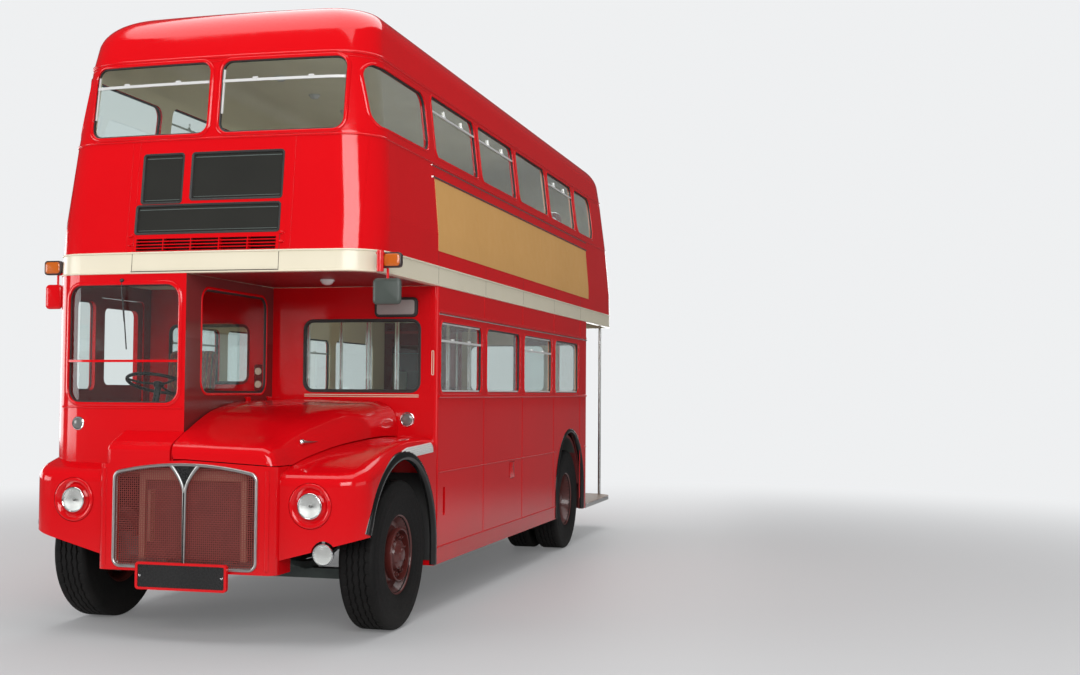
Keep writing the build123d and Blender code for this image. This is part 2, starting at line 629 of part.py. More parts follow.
# Cab: front and offside walls, the wall beside the bonnet, windows and the door opening
WINDSCREEN = ((-1036, -174), (1557, 2362), 95)
CAB_SIDE_WINDOW = ((420, 1420), (1625, 2350), 90)
CAB_WALL = 30
DOOR_Y = (830, 1440)
DOOR_Z = (1345, 2330)
DOOR_GAP = 6
DOOR_THICK = 38
QUARTER_LIGHT = ((540, 770), (1640, 2290), 50)
cab_form = body_loft(cab_plan)
cab_block = block((-1400, CAB_INNER_X), (0, BULKHEAD), ALL_Z)
cab = (cab_form - body_loft(cab_plan, WALL)) & cab_block
cab += cab_form & block((CAB_INNER_X - CAB_WALL, CAB_INNER_X), (0, BULKHEAD), (1330, BAND_LOW_Z))
cab -= mirrored(wing_solid)
write("front_wings", near_wing, off_wing)
cab -= cut_along_y(WINDSCREEN[0], WINDSCREEN[1], WINDSCREEN[2], FRONT_Y)
cab -= cut_along_x(CAB_SIDE_WINDOW[0], CAB_SIDE_WINDOW[1], CAB_SIDE_WINDOW[2], (-400, 0))
cab -= cut_along_x(DOOR_Y, DOOR_Z, 40, (-1400, -1000))
cab -= cut_along_x(QUARTER_LIGHT[0], QUARTER_LIGHT[1], QUARTER_LIGHT[2], (-1400, -1000))
cab -= block((-NOSE_HALF - FIT, 0), (0, NOSE_DEPTH + 60), (0, NOSE_TOP + FIT))
write("cab_shell", cab)
cab_glass = body_loft(cab_plan, GLASS_INSET)
cab_glass -= body_loft(cab_plan, GLASS_INSET + GLASS)
screen = cut_along_y(within(WINDSCREEN[0]), within(WINDSCREEN[1]), WINDSCREEN[2] - FIT, FRONT_Y)
panes += (cab_glass & screen).solids()
for window, x_low in ((CAB_SIDE_WINDOW, CAB_INNER_X - 18), (QUARTER_LIGHT, -HALF_WIDTH + GLASS_INSET)):
    pane_x = (x_low, x_low + GLASS)
    panes.append(cut_along_x(within(window[0]), within(window[1]), window[2] - FIT, pane_x))
write("glazing", *panes)

# Cab door, hinged at its front edge
door_y = (DOOR_Y[0] + DOOR_GAP, DOOR_Y[1] - DOOR_GAP)
door_z = (DOOR_Z[0] + DOOR_GAP, DOOR_Z[1] - DOOR_GAP)
door = cut_along_x(door_y, door_z, 34, (-HALF_WIDTH, -HALF_WIDTH + DOOR_THICK))
door -= cut_along_x((door_y[0] + 70, door_y[1] - 70), (1680, door_z[1] - 70), 50, (-1400, -1000))
KNUCKLE = 11
DOOR_HINGE_X = -HALF_WIDTH - KNUCKLE - FIT
DOOR_HINGE_Y = DOOR_Y[0] + 2
for z in (1460, 2180):
    door += post(KNUCKLE, DOOR_HINGE_X, DOOR_HINGE_Y, (z, z + 60))
    door += block((DOOR_HINGE_X - KNUCKLE, -HALF_WIDTH + 2), (door_y[0] + 4, door_y[0] + 46), (z, z + 60))
    door += block((DOOR_HINGE_X - KNUCKLE, DOOR_HINGE_X), (DOOR_HINGE_Y, door_y[0] + 46), (z, z + 60))
write("cab_door", door)

# Emergency window at the back of the upper deck, hinged at its top edge
EMERGENCY_GAP = 6
EMERGENCY_FRAME = 55
EMERGENCY_PANE_RADIUS = 50
frame_layer = deck_form(4, BAND_HIGH_Z) - deck_form(40, BAND_HIGH_Z)
em_x = (EMERGENCY_X[0] + EMERGENCY_GAP, EMERGENCY_X[1] - EMERGENCY_GAP)
em_z = (EMERGENCY_Z[0] + EMERGENCY_GAP, EMERGENCY_Z[1] - EMERGENCY_GAP)
em_glass_x = (em_x[0] + EMERGENCY_FRAME, em_x[1] - EMERGENCY_FRAME)
em_glass_z = (em_z[0] + EMERGENCY_FRAME, em_z[1] - EMERGENCY_FRAME)
emergency = frame_layer & cut_along_y(em_x, em_z, EMERGENCY_RADIUS - EMERGENCY_GAP, REAR_Y)
emergency -= cut_along_y(em_glass_x, em_glass_z, EMERGENCY_PANE_RADIUS, REAR_Y)
TOP_HINGE_X = 330
TOP_HINGE_Z = EMERGENCY_Z[1] + 5
rear_half, _, rear_face = level_at(TOP_HINGE_Z)[1:]
top_hinge_y = rear_face - REAR_BOW * (TOP_HINGE_X / rear_half) ** 2 + KNUCKLE + 1
for side in (-1, 1):
    x = sorted((side * (TOP_HINGE_X - 30), side * (TOP_HINGE_X + 30)))
    emergency += disc_along_x(KNUCKLE, x, top_hinge_y, TOP_HINGE_Z)
    emergency += block(x, (top_hinge_y - 6, top_hinge_y + KNUCKLE - 1), (em_z[1] - 26, TOP_HINGE_Z))
    emergency += block(x, (top_hinge_y - 24, top_hinge_y + KNUCKLE - 1), (em_z[1] - 26, em_z[1] - 3))
write("emergency_window", emergency)
em_pane = cut_along_y(within(em_glass_x), within(em_glass_z), EMERGENCY_PANE_RADIUS - FIT, REAR_Y)
write("emergency_glass", glass_layer & em_pane)

# Destination display boxes behind the openings of the front panel
DISPLAY_RECESS = 14
display_space = deck_form(DISPLAY_RECESS, BAND_HIGH_Z) - deck_form(WALL + 90, BAND_HIGH_Z)
displays = []
for span_x, span_z in (NUMBER_BOX, BLIND_BOX, LOWER_BLIND):
    glazed = cut_along_y(within(span_x), within(span_z), DISPLAY_RADIUS - FIT, FRONT_Y)
    displays += (display_space & glazed).solids()
write("display_boxes", *displays)
write("body_mouldings", *mouldings)

# Floors of the saloon, the platform and the cab
side_in = HALF_WIDTH - WALL - FIT
saloon_floor = block((-side_in, side_in), (BULKHEAD + BULKHEAD_WALL + FIT, PLATFORM_START),
                     (SALOON_FLOOR_Z - FLOOR_THICK, SALOON_FLOOR_Z))
saloon_floor += block((-side_in, side_in), (PLATFORM_START - 25, PLATFORM_START),
                      (PLATFORM_Z - FLOOR_THICK, SALOON_FLOOR_Z))
platform_rear = BODY_LENGTH - REAR_BOW - 2
platform_levels = (PLATFORM_Z - FLOOR_THICK, PLATFORM_Z)
platform_plan = [(z, HALF_WIDTH - 2, CAB_FRONT, platform_rear) for z in platform_levels]
platform = body_loft(platform_plan) & block(WIDE_X, (PLATFORM_START, 9000), ALL_Z)
platform -= rear_wall + off_side
saloon_floor += platform
for side in (-1, 1):
    x = sorted((side * 600, side * 1400))
    saloon_floor -= arch(REAR_AXLE, REAR_ARCH_Z - 40, REAR_ARCH_RADIUS - 20, x)
wheel_box = disc_along_x(REAR_ARCH_RADIUS + 10, (596, side_in), REAR_AXLE, REAR_ARCH_Z - 40)
wheel_box &= block(WIDE_X, (0, 9000), (SALOON_FLOOR_Z - FLOOR_THICK, 2000))
wheel_box -= disc_along_x(REAR_ARCH_RADIUS - 20, (611, 1400), REAR_AXLE, REAR_ARCH_Z - 40)
saloon_floor += wheel_box + mirrored(wheel_box)
cab_floor = block((-side_in, -385), (320, BULKHEAD - FIT), (CAB_FLOOR_Z - CAB_FLOOR_THICK, CAB_FLOOR_Z))
cab_floor += block((-410, -385), (320, BULKHEAD - FIT), (CAB_FLOOR_Z, 1300))
cab_floor += block((-410, CAB_INNER_X - 20), (320, BULKHEAD - FIT), (1300, 1325))
cab_floor_plan = [(z, HALF_WIDTH, CAB_FRONT + 8, BODY_LENGTH - REAR_BOW) for z in (1000, 1400)]
cab_floor &= body_loft(cab_floor_plan, WALL + FIT)
write("lower_floors", saloon_floor, cab_floor)

# Staircase from the platform round the offside rear corner to the upper deck
NEWEL_X = -520
NEWEL_Y = 7470
STEPS = 9
TREAD_THICK = 30
STAIR_OUT = HALF_WIDTH - WALL - 6
rise = (UPPER_FLOOR_Z - PLATFORM_Z) / (STEPS + 1)
stair = post(45, NEWEL_X, NEWEL_Y, (PLATFORM_Z, UPPER_FLOOR_Z + 900))
stair_space = block((-STAIR_OUT, 300), (6500, BODY_LENGTH - WALL - 50), ALL_Z)
stair_space &= lower_inner
STRAIGHT_RUN = 250
WINDER_REACH = 1200
WINDER_SLOPE = 0.488
for step in range(STEPS):
    z = PLATFORM_Z + rise * (step + 1)
    if step < 2:
        x = (NEWEL_X + STRAIGHT_RUN * (1 - step), NEWEL_X + STRAIGHT_RUN * (2 - step))
        tread = block((x[0] - 20, x[1]), (NEWEL_Y + 20, 8200), (z - TREAD_THICK, z))
        tread += block((x[1] - 20, x[1]), (NEWEL_Y + 20, 8200), (z - rise, z))
    elif step < 6:
        turn = 90 + (step - 2) * 22.5
        wedge = face_of(Plane.XY, (0, 0), (WINDER_REACH, 0), (WINDER_REACH, WINDER_REACH * WINDER_SLOPE))
        tread = Pos(NEWEL_X, NEWEL_Y, z - TREAD_THICK) * Rot(0, 0, turn) * extrude(wedge, TREAD_THICK)
        riser = block((0, WINDER_REACH), (0, 18), (0, rise))
        tread += Pos(NEWEL_X, NEWEL_Y, z - rise) * Rot(0, 0, turn) * riser
    else:
        y = (NEWEL_Y - STRAIGHT_RUN * (step - 5), NEWEL_Y - STRAIGHT_RUN * (step - 6))
        tread = block((-STAIR_OUT, NEWEL_X), (y[0] - 20, y[1]), (z - TREAD_THICK, z))
        tread += block((-STAIR_OUT, NEWEL_X), (y[1] - 20, y[1]), (z - rise, z))
    stair += tread & stair_space
string_z = (PLATFORM_Z + rise * 6, CEILING_Z - 2)
stair += block((NEWEL_X - 25, NEWEL_X), (PLATFORM_START + FIT, NEWEL_Y), string_z) & stair_space
write("staircase", stair - rear_bulkhead)

# Seats: a cushion and a back as one padded piece, station by station
SEAT_WIDTH = 860
SEAT_DEPTH = 400
CUSHION_Z = 440
CUSHION_THICK = 90
CUSHION_FALL = 25
RAIL = 25
BACK_THICK = 70
BACK_HEIGHT = 480
SEAT_PITCH = 711
SEAT_X = HALF_WIDTH - WALL - 24 - SEAT_WIDTH / 2


def seat_profile(width):
    """A bus seat seen from the side, facing forward, with its cushion's front edge at the origin."""
    under = CUSHION_Z - CUSHION_THICK
    top = CUSHION_Z + BACK_HEIGHT
    with BuildSketch(Plane.YZ.offset(-width / 2)) as side:
        with BuildLine():
            Polyline((0, under), (SEAT_DEPTH, under - CUSHION_FALL), (SEAT_DEPTH + BACK_THICK, under),
                     (SEAT_DEPTH + BACK_THICK + 70, top), (SEAT_DEPTH + 75, top),
                     (SEAT_DEPTH - 10, CUSHION_Z - 15), (0, CUSHION_Z + 5), close=True)
        make_face()
    return extrude(side.sketch, width)


def seat_frame(width):
    """The tube frame that carries a seat: four legs and the rails under the cushion."""
    frame = Part()
    top = CUSHION_Z - CUSHION_THICK - CUSHION_FALL * (SEAT_DEPTH - 20) / SEAT_DEPTH - FIT
    for side in (-1, 1):
        x = side * (width / 2 - 110)
        frame += block((x - 14, x + 14), (60, SEAT_DEPTH - 20), (top - RAIL, top))
        frame += block((x - 14, x + 14), (80, 108), (0, top - RAIL / 2))
        frame += block((x - 14, x + 14), (SEAT_DEPTH - 70, SEAT_DEPTH - 42), (0, top - RAIL / 2))
    x_rail = (-width / 2 + 110, width / 2 - 110)
    frame += block(x_rail, (SEAT_DEPTH / 2 - 14, SEAT_DEPTH / 2 + 14), (top - RAIL, top))
    return frame


one_seat = seat_profile(SEAT_WIDTH)
one_frame = seat_frame(SEAT_WIDTH)
LOWER_FIRST_SEAT = 1960
LOWER_ROWS = 5
UPPER_FIRST_SEAT = 640
UPPER_NEAR_ROWS = 9
UPPER_OFF_ROWS = 8
SEAT_INWARD = 62
seats = []
frames = []
for row in range(LOWER_ROWS):
    for side in (-1, 1):
        place = Pos(side * SEAT_X, LOWER_FIRST_SEAT + row * SEAT_PITCH, SALOON_FLOOR_Z)
        seats.append(place * one_seat)
        frames.append(place * one_frame)
for side, rows in ((-1, UPPER_OFF_ROWS), (1, UPPER_NEAR_ROWS)):
    for row in range(rows):
        place = Pos(side * (SEAT_X - SEAT_INWARD), UPPER_FIRST_SEAT + row * SEAT_PITCH, UPPER_FLOOR_Z)
        seats.append(place * one_seat)
        frames.append(place * one_frame)
# Benches over the rear wheels, facing the aisle
BENCH_Z = REAR_ARCH_Z - 40 + REAR_ARCH_RADIUS + 10 + FIT
for side in (-1, 1):
    x = sorted((side * 640, side * (side_in - 4)))
    bench = block(x, (REAR_AXLE - 560, REAR_AXLE + 700), (BENCH_Z, BENCH_Z + 80))
    x_back = sorted((side * (side_in - 80), side * (side_in - 4)))
    bench += block(x_back, (REAR_AXLE - 560, REAR_AXLE + 700), (BENCH_Z, BENCH_Z + 380))
    seats.append(bench)
# Driver's seat
DRIVER_X = -770
DRIVER_Y = 990
driver = Pos(DRIVER_X, DRIVER_Y, CAB_FLOOR_Z) * seat_profile(440)
seats.append(driver)
PEDESTAL_Y = (120, 300)
pedestal_top = CUSHION_Z - CUSHION_THICK - CUSHION_FALL * PEDESTAL_Y[1] / SEAT_DEPTH - FIT
frames.append(Pos(DRIVER_X, DRIVER_Y, CAB_FLOOR_Z) * block((-90, 90), PEDESTAL_Y, (0, pedestal_top)))
write("seats", *seats)
write("seat_frames", *frames)

# Grab poles on the platform and in the saloon
POLE_RADIUS = 17
corner_reach = (REAR_CORNER - WALL - POLE_RADIUS - 3) * cos(pi / 4)
CORNER_POLE = (HALF_WIDTH - REAR_CORNER + corner_reach, BODY_LENGTH - REAR_BOW - REAR_CORNER + corner_reach)
poles = [post(POLE_RADIUS, *CORNER_POLE, (PLATFORM_Z, CEILING_Z))]
for x, y in ((-330, PLATFORM_START + 60), (430, PLATFORM_START + 40)):
    poles.append(post(POLE_RADIUS, x, y, (PLATFORM_Z, CEILING_Z)))
for row in range(LOWER_ROWS):
    for side in (-1, 1):
        y = LOWER_FIRST_SEAT + row * SEAT_PITCH + SEAT_DEPTH + BACK_THICK + 110
        poles.append(post(POLE_RADIUS, side * (SEAT_X - SEAT_WIDTH / 2 - 20), y, (SALOON_FLOOR_Z, CEILING_Z)))
write("grab_poles", *poles)

# Steering wheel and its column
WHEEL_CENTRE = (-640, 760, 1690)
RING_RADIUS = 225
RING_WIRE = 13
wheel = revolve(Plane.XZ * Pos(RING_RADIUS, 0) * RegularPolygon(RING_WIRE, 8), Axis.Z)
for spoke in range(3):
    wheel += Rot(0, 0, 90 + spoke * 120) * Pos(112, 0, 0) * Box(226, 22, 12)
wheel += Pos(0, 0, -10) * Cylinder(38, 40)
wheel += Pos(0, 0, -360) * Cylinder(24, 680)
wheel = Pos(*WHEEL_CENTRE) * Rot(-18, 0, 0) * wheel
write("steering_wheel", wheel & block(WIDE_X, (0, BULKHEAD), (CAB_FLOOR_Z + FIT, BAND_LOW_Z)))

# Lamps: headlamps, fog lamp, side lamps, turn indicators and rear lamps
lamps = []
for side in (-1, 1):
    lamp = disc_along_y(LAMP_RADIUS, side * LAMP_X, (WING_FRONT - 22, WING_FRONT + LAMP_DEPTH), LAMP_Z)
    lamp = fillet(lamp.edges().group_by(Axis.Y)[0], 18)
    lamps.append(lamp)
fog_lamp = disc_along_y(FOG_RADIUS, FOG_X, (WING_FRONT - 18, WING_FRONT + 70), FOG_Z)
fog_lamp += block((FOG_X - 12, FOG_X + 12), (WING_FRONT + 2, WING_FRONT + WING_SKIN - 2),
                  (FOG_Z + FOG_RADIUS - 6, FOG_Z + FOG_RADIUS + FOG_GAP - 1 - FIT))
lamps.append(fog_lamp)
SIDE_LAMP_X = -940
SIDE_LAMP_Z = 1412
side_lamp = disc_along_y(44, SIDE_LAMP_X, (CAB_FRONT - 24, CAB_FRONT + 80), SIDE_LAMP_Z) - cab_form
lamps.append(side_lamp)
MARKER_LAMP = (986, 1435)
lamps.append(disc_along_y(48, MARKER_LAMP[0], (BULKHEAD - 20, BULKHEAD), MARKER_LAMP[1]))
for side in (-1, 1):
    rear_lamp = disc_along_y(45, side * 700, (BODY_LENGTH - 60, BODY_LENGTH + PLATE_PROUD), 1100)
    lamps.append(rear_lamp - lower_form)
lamps = [lamp for lamp in lamps if lamp.center().Y < BODY_LENGTH / 2 or lamp.center().X < REAR_WALL_END_X]
write("lamps", *lamps)

# Mirrors and turn indicators on arms at the front corners
MIRROR_REACH = 1375
# Side, station of the arm and inner edge of the mirror
ARMS = ((-1, 435, HALF_WIDTH + 20), (1, 320, HALF_WIDTH - 46))
indicators = []
for side, arm_y, mirror_in in ARMS:
    x = sorted((side * (MIRROR_REACH - 140), side * MIRROR_REACH))
    body = block(x, (arm_y - 20, arm_y + 35), (2458, 2563))
    x_arm = sorted((side * (HALF_WIDTH - 60), side * (MIRROR_REACH - 60)))
    arm = block(x_arm, (arm_y, arm_y + 20), (2452, 2480))
    x_stem = sorted((side * (MIRROR_REACH - 110), side * (MIRROR_REACH - 90)))
    stem = block(x_stem, (arm_y, arm_y + 20), (2380, 2460))
    x_glass = sorted((side * mirror_in, side * (MIRROR_REACH - 5)))
    glass = cut_along_y(x_glass, (2216, 2393), 25, (arm_y - 8, arm_y + 22))
    indicators.append(body + arm + stem + glass - deck_form(-FIT))
write("mirrors", *indicators)

# Underframe: two main beams, cross members and outriggers below the floor
BEAM_X = 430
BEAM_HALF = 38
BEAM_Z = (455, SALOON_FLOOR_Z - FLOOR_THICK - FIT)
REAR_ARCH_GAP = 90
BEAM_IN = BEAM_X - BEAM_HALF
BEAM_OUT = BEAM_X + BEAM_HALF
frame_parts = []
for side in (-1, 1):
    x = sorted((side * BEAM_IN, side * BEAM_OUT))
    beam = block(x, (240, PLATFORM_START - 50), BEAM_Z)
    beam -= block(x, (REAR_AXLE - REAR_ARCH_GAP, REAR_AXLE + REAR_ARCH_GAP), (0, TYRE_RADIUS + REAR_ARCH_GAP))
    frame_parts.append(beam)
# Cross members between the beams; the front one carries the tow eye and the radiator's feet
CROSS_X = (-BEAM_IN + FIT, BEAM_IN - FIT)
CROSS_WIDE = 60
FRONT_CROSS_Y = 240
TOW_BORE = 20
TOW_HALF = 38
TOW_EYE_Y = 78
TOW_EYE_Z = (400, 440)
front_cross = block(CROSS_X, (FRONT_CROSS_Y, FRONT_CROSS_Y + CROSS_WIDE), (BEAM_Z[0] + 20, BEAM_Z[1] - 20))
front_cross += block((-TOW_HALF, TOW_HALF), (TOW_EYE_Y, FRONT_CROSS_Y + CROSS_WIDE), TOW_EYE_Z)
front_cross += post(TOW_HALF, 0, TOW_EYE_Y, TOW_EYE_Z)
cross_y = (FRONT_CROSS_Y, FRONT_CROSS_Y + CROSS_WIDE)
front_cross += block((-TOW_HALF, TOW_HALF), cross_y, (TOW_EYE_Z[0], BEAM_Z[0] + 30))
front_cross -= post(TOW_BORE, 0, TOW_EYE_Y, (300, 700))
for x in ((-270, -210), (210, 270)):
    front_cross += block(x, (150, FRONT_CROSS_Y + 2), (490, RADIATOR_Z[0] - FIT))
frame_parts.append(front_cross)
for y in (1600, 2759, 3978, 5197, 6640):
    frame_parts.append(block(CROSS_X, (y, y + CROSS_WIDE), (BEAM_Z[0] + 20, BEAM_Z[1] - 20)))
# Outriggers, brackets of the fuel tank and feet of the engine, all against the beams
for y in (1780, 2839, 4058, 5180):
    frame_parts += both(block((BEAM_OUT + FIT, side_in), (y, y + CROSS_WIDE), (BEAM_Z[1] - 70, BEAM_Z[1])))
TANK_X = (560, 1080)
for y in (3060, 3680):
    frame_parts.append(block((BEAM_OUT + FIT, TANK_X[0] - FIT), (y, y + CROSS_WIDE), (480, 540)))
for y in (480, 1240):
    frame_parts += both(block((ENGINE_HALF + FIT, BEAM_IN - FIT), (y, y + 70), (540, 620)))
write("chassis_frame", *frame_parts)
write("fuel_tank", fillet(block(TANK_X, (2950, 3850), (400, BEAM_Z[1] - 76)).edges().filter_by(Axis.Y), 40))

# Axles with the springs that stand on them
axle = block((-KINGPIN_X + 60, KINGPIN_X - 60), (FRONT_AXLE - 45, FRONT_AXLE + 45), (335, 405))
EYE_RADIUS = 48
EYE_Z = (455, 575)
UPRIGHT_X = KINGPIN_X - EYE_RADIUS - 6
for side in (-1, 1):
    axle += post(EYE_RADIUS, side * KINGPIN_X, FRONT_AXLE, EYE_Z)
    x_arm = sorted((side * (UPRIGHT_X - 56), side * UPRIGHT_X))
    axle += block(x_arm, (FRONT_AXLE - 40, FRONT_AXLE + 40), (335, EYE_Z[1]))
    x_web = sorted((side * (UPRIGHT_X - 10), side * (KINGPIN_X - 20)))
    axle += block(x_web, (FRONT_AXLE - 36, FRONT_AXLE + 36), (EYE_Z[0] + 8, EYE_Z[1] - 8))
    axle += post(62, side * BEAM_X, FRONT_AXLE, (400, BEAM_Z[0] - FIT))
for side in (-1, 1):
    axle -= post(KINGPIN_RADIUS + RUNNING_FIT, side * KINGPIN_X, FRONT_AXLE, (300, 700))
CASING = 122
TUBE = 70
TUBE_END = 560
axle_end = REAR_TRACK_HALF + 40
with BuildSketch(Plane.XZ) as casing:
    with BuildLine():
        Polyline((-CASING - 60, TUBE), (-TUBE_END, TUBE), (-TUBE_END, SPINDLE_RADIUS),
                 (-axle_end, SPINDLE_RADIUS), (-axle_end, 0), (axle_end, 0), (axle_end, SPINDLE_RADIUS),
                 (TUBE_END, SPINDLE_RADIUS), (TUBE_END, TUBE), (CASING + 60, TUBE))
        ThreePointArc((CASING + 60, TUBE), (0, CASING), (-CASING - 60, TUBE))
    make_face()
rear_axle = Pos(0, REAR_AXLE, TYRE_RADIUS) * revolve(casing.sketch, Axis.X)
write("axles", axle, rear_axle)

# Knuckles that carry the front wheels
LUG = 38
LUG_GAP = 1
lug_low = (EYE_Z[0] - LUG_GAP - LUG, EYE_Z[0] - LUG_GAP)
lug_high = (EYE_Z[1] + LUG_GAP, EYE_Z[1] + LUG_GAP + LUG)
KNUCKLE_FACE_X = KINGPIN_X + 90
knuckle_y = (FRONT_AXLE - 40, FRONT_AXLE + 40)
knuckle = post(KINGPIN_RADIUS, KINGPIN_X, FRONT_AXLE, (lug_low[0], lug_high[1]))
for z in (lug_low, lug_high):
    knuckle += post(EYE_RADIUS, KINGPIN_X, FRONT_AXLE, z)
    knuckle += block((KINGPIN_X, KNUCKLE_FACE_X), knuckle_y, z)
knuckle += block((KNUCKLE_FACE_X - 34, KNUCKLE_FACE_X), knuckle_y, (lug_low[0], lug_high[1]))
knuckle += disc_along_x(SPINDLE_RADIUS, (KINGPIN_X + 60, FRONT_TRACK_HALF + 40), FRONT_AXLE, TYRE_RADIUS)
write("front_near_knuckle", knuckle)
write("front_off_knuckle", mirrored(knuckle))


def tyre(x):
    """A tyre with a flat tread, chamfered shoulders and bulged walls, standing at x."""
    half = TYRE_WIDTH / 2
    wall = [(half - 40, TYRE_RADIUS), (half - 6, TYRE_RADIUS - 34), (half, 390), (half - 18, RIM_RADIUS)]
    outline = Polyline(*wall, *[(-out, radius) for out, radius in reversed(wall)], close=True)
    return Pos(x, 0, 0) * revolve(Plane.XZ * make_face(outline), Axis.X)


def wheel_disc(x, disc_x, hub):
    """A steel wheel: rim barrel, dished disc and hub, bored for its spindle. hub is its x span."""
    half = TYRE_WIDTH / 2 - 20
    barrel = disc_along_x(RIM_RADIUS - FIT, (x - half, x + half), 0, 0)
    barrel -= disc_along_x(RIM_RADIUS - RIM_WALL, (x - half - 5, x + half + 5), 0, 0)
    body = barrel + disc_along_x(RIM_RADIUS - 4, (disc_x, disc_x + 14), 0, 0)
    body += disc_along_x(78, hub, 0, 0)
    return body - disc_along_x(SPINDLE_RADIUS + RUNNING_FIT, (hub[0] - 10, hub[1] - 30), 0, 0)


front_place = Pos(0, FRONT_AXLE, TYRE_RADIUS)
front_tyre = front_place * tyre(FRONT_TRACK_HALF)
front_hub = (KNUCKLE_FACE_X + 8, FRONT_TRACK_HALF + 118)
front_rim = front_place * wheel_disc(FRONT_TRACK_HALF, FRONT_TRACK_HALF + 62, front_hub)
write("front_near_tyre", front_tyre)
write("front_off_tyre", mirrored(front_tyre))
write("front_near_rim", front_rim)
write("front_off_rim", mirrored(front_rim))
rear_place = Pos(0, REAR_AXLE, TYRE_RADIUS)
rear_tyres = [rear_place * tyre(x) for x in (REAR_TRACK_HALF, REAR_TRACK_HALF - TWIN_SPACING)]
inner_wheel_x = REAR_TRACK_HALF - TWIN_SPACING
rear_hub = (inner_wheel_x - 60, REAR_TRACK_HALF + 76)
outer_rim = wheel_disc(REAR_TRACK_HALF, REAR_TRACK_HALF - 70, rear_hub)
inner_rim = wheel_disc(inner_wheel_x, inner_wheel_x + 40, rear_hub)
rear_rims = rear_place * (outer_rim + inner_rim)
write("rear_near_tyres", *rear_tyres)
write("rear_off_tyres", *[mirrored(one) for one in rear_tyres])
write("rear_near_rims", rear_rims)
write("rear_off_rims", mirrored(rear_rims))
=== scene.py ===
"""Half-cab double decker bus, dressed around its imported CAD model.

Lengths are metres. The bus faces -Y, its kerb side is +X, and stations are distances behind its nose.
"""
import math

import bmesh
import bpy
import numpy as np
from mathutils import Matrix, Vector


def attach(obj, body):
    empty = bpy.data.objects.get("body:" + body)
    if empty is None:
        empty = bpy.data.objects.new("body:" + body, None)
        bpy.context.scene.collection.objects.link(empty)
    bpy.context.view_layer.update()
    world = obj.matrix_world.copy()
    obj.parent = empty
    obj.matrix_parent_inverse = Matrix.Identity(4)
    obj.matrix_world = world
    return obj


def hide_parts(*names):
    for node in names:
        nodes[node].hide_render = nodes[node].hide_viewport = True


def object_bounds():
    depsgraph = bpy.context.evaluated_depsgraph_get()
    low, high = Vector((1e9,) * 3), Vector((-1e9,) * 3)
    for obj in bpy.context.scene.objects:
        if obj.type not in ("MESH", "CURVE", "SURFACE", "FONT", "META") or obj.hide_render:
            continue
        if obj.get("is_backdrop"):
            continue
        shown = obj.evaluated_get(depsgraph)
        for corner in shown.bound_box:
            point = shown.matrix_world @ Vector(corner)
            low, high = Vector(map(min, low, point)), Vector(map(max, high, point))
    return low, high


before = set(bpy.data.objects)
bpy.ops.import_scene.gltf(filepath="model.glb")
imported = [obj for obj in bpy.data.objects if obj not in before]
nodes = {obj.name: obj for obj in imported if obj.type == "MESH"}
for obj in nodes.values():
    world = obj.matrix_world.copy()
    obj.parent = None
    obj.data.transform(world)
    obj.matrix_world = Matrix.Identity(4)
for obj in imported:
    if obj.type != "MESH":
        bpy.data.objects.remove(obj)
cad_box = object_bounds()
BODY = "bus_body"

# Studio: a pale floor that runs out into pale air, so that the gloss paint has something plain to mirror.
# Large soft lamps hang above and stand to the sides, as round a vehicle being photographed.
AIR_TONE = (0.86, 0.87, 0.88, 1)
DAYLIGHT = (0.93, 0.95, 1.0, 1)
DAYLIGHT_STRENGTH = 0.40
MIRRORED_STRENGTH = 0.08
FLOOR_TONE = (0.47, 0.47, 0.47, 1)
FLOOR_REACH = 140
FADE_START, FADE_END, FADE_SHARE = 4.0, 13.0, 0.12
MIRRORED_FLOOR = 0.14


def add_node(tree, kind, sockets, **settings):
    """A shader node with its settings made; a socket given another node's socket is
    linked, or else takes the value."""
    node = tree.nodes.new(kind)
    for setting, value in settings.items():
        setattr(node, setting, value)
    for socket, value in sockets.items():
        if isinstance(value, bpy.types.NodeSocket):
            tree.links.new(value, node.inputs[socket])
        else:
            node.inputs[socket].default_value = value
    return node


def worked_out(tree, operation, first, second):
    """The number that a Math node makes of two."""
    return add_node(tree, "ShaderNodeMath", {0: first, 1: second}, operation=operation).outputs[0]


def either(tree, share, first, second):
    """The shader between two, by the share of the second."""
    return add_node(tree, "ShaderNodeMixShader", {"Fac": share, 1: first, 2: second}).outputs["Shader"]


def bare_finish(name, values):
    """A new material, its tree and its shader, which takes the values on its own sockets."""
    material = bpy.data.materials.new(name)
    material.use_nodes = True
    shader = material.node_tree.nodes["Principled BSDF"]
    for socket, value in values.items():
        shader.inputs[socket].default_value = value
    return material, material.node_tree, shader


world = bpy.data.worlds.new("studio_air")
bpy.context.scene.world = world
world.use_nodes = True
air = world.node_tree
daylight = air.nodes["Background"]
daylight.inputs["Color"].default_value = DAYLIGHT
daylight.inputs["Strength"].default_value = DAYLIGHT_STRENGTH
ray = add_node(air, "ShaderNodeLightPath", {})
mirrored_air = add_node(air, "ShaderNodeBackground", {"Color": AIR_TONE, "Strength": MIRRORED_STRENGTH})
seen_air = add_node(air, "ShaderNodeBackground", {"Color": AIR_TONE})
seen = worked_out(air, "MAXIMUM", ray.outputs["Is Camera Ray"], ray.outputs["Is Transmission Ray"])
unseen_air = either(air, ray.outputs["Is Glossy Ray"], daylight.outputs[0], mirrored_air.outputs[0])
air.links.new(either(air, seen, unseen_air, seen_air.outputs[0]),
              air.nodes["World Output"].inputs["Surface"])

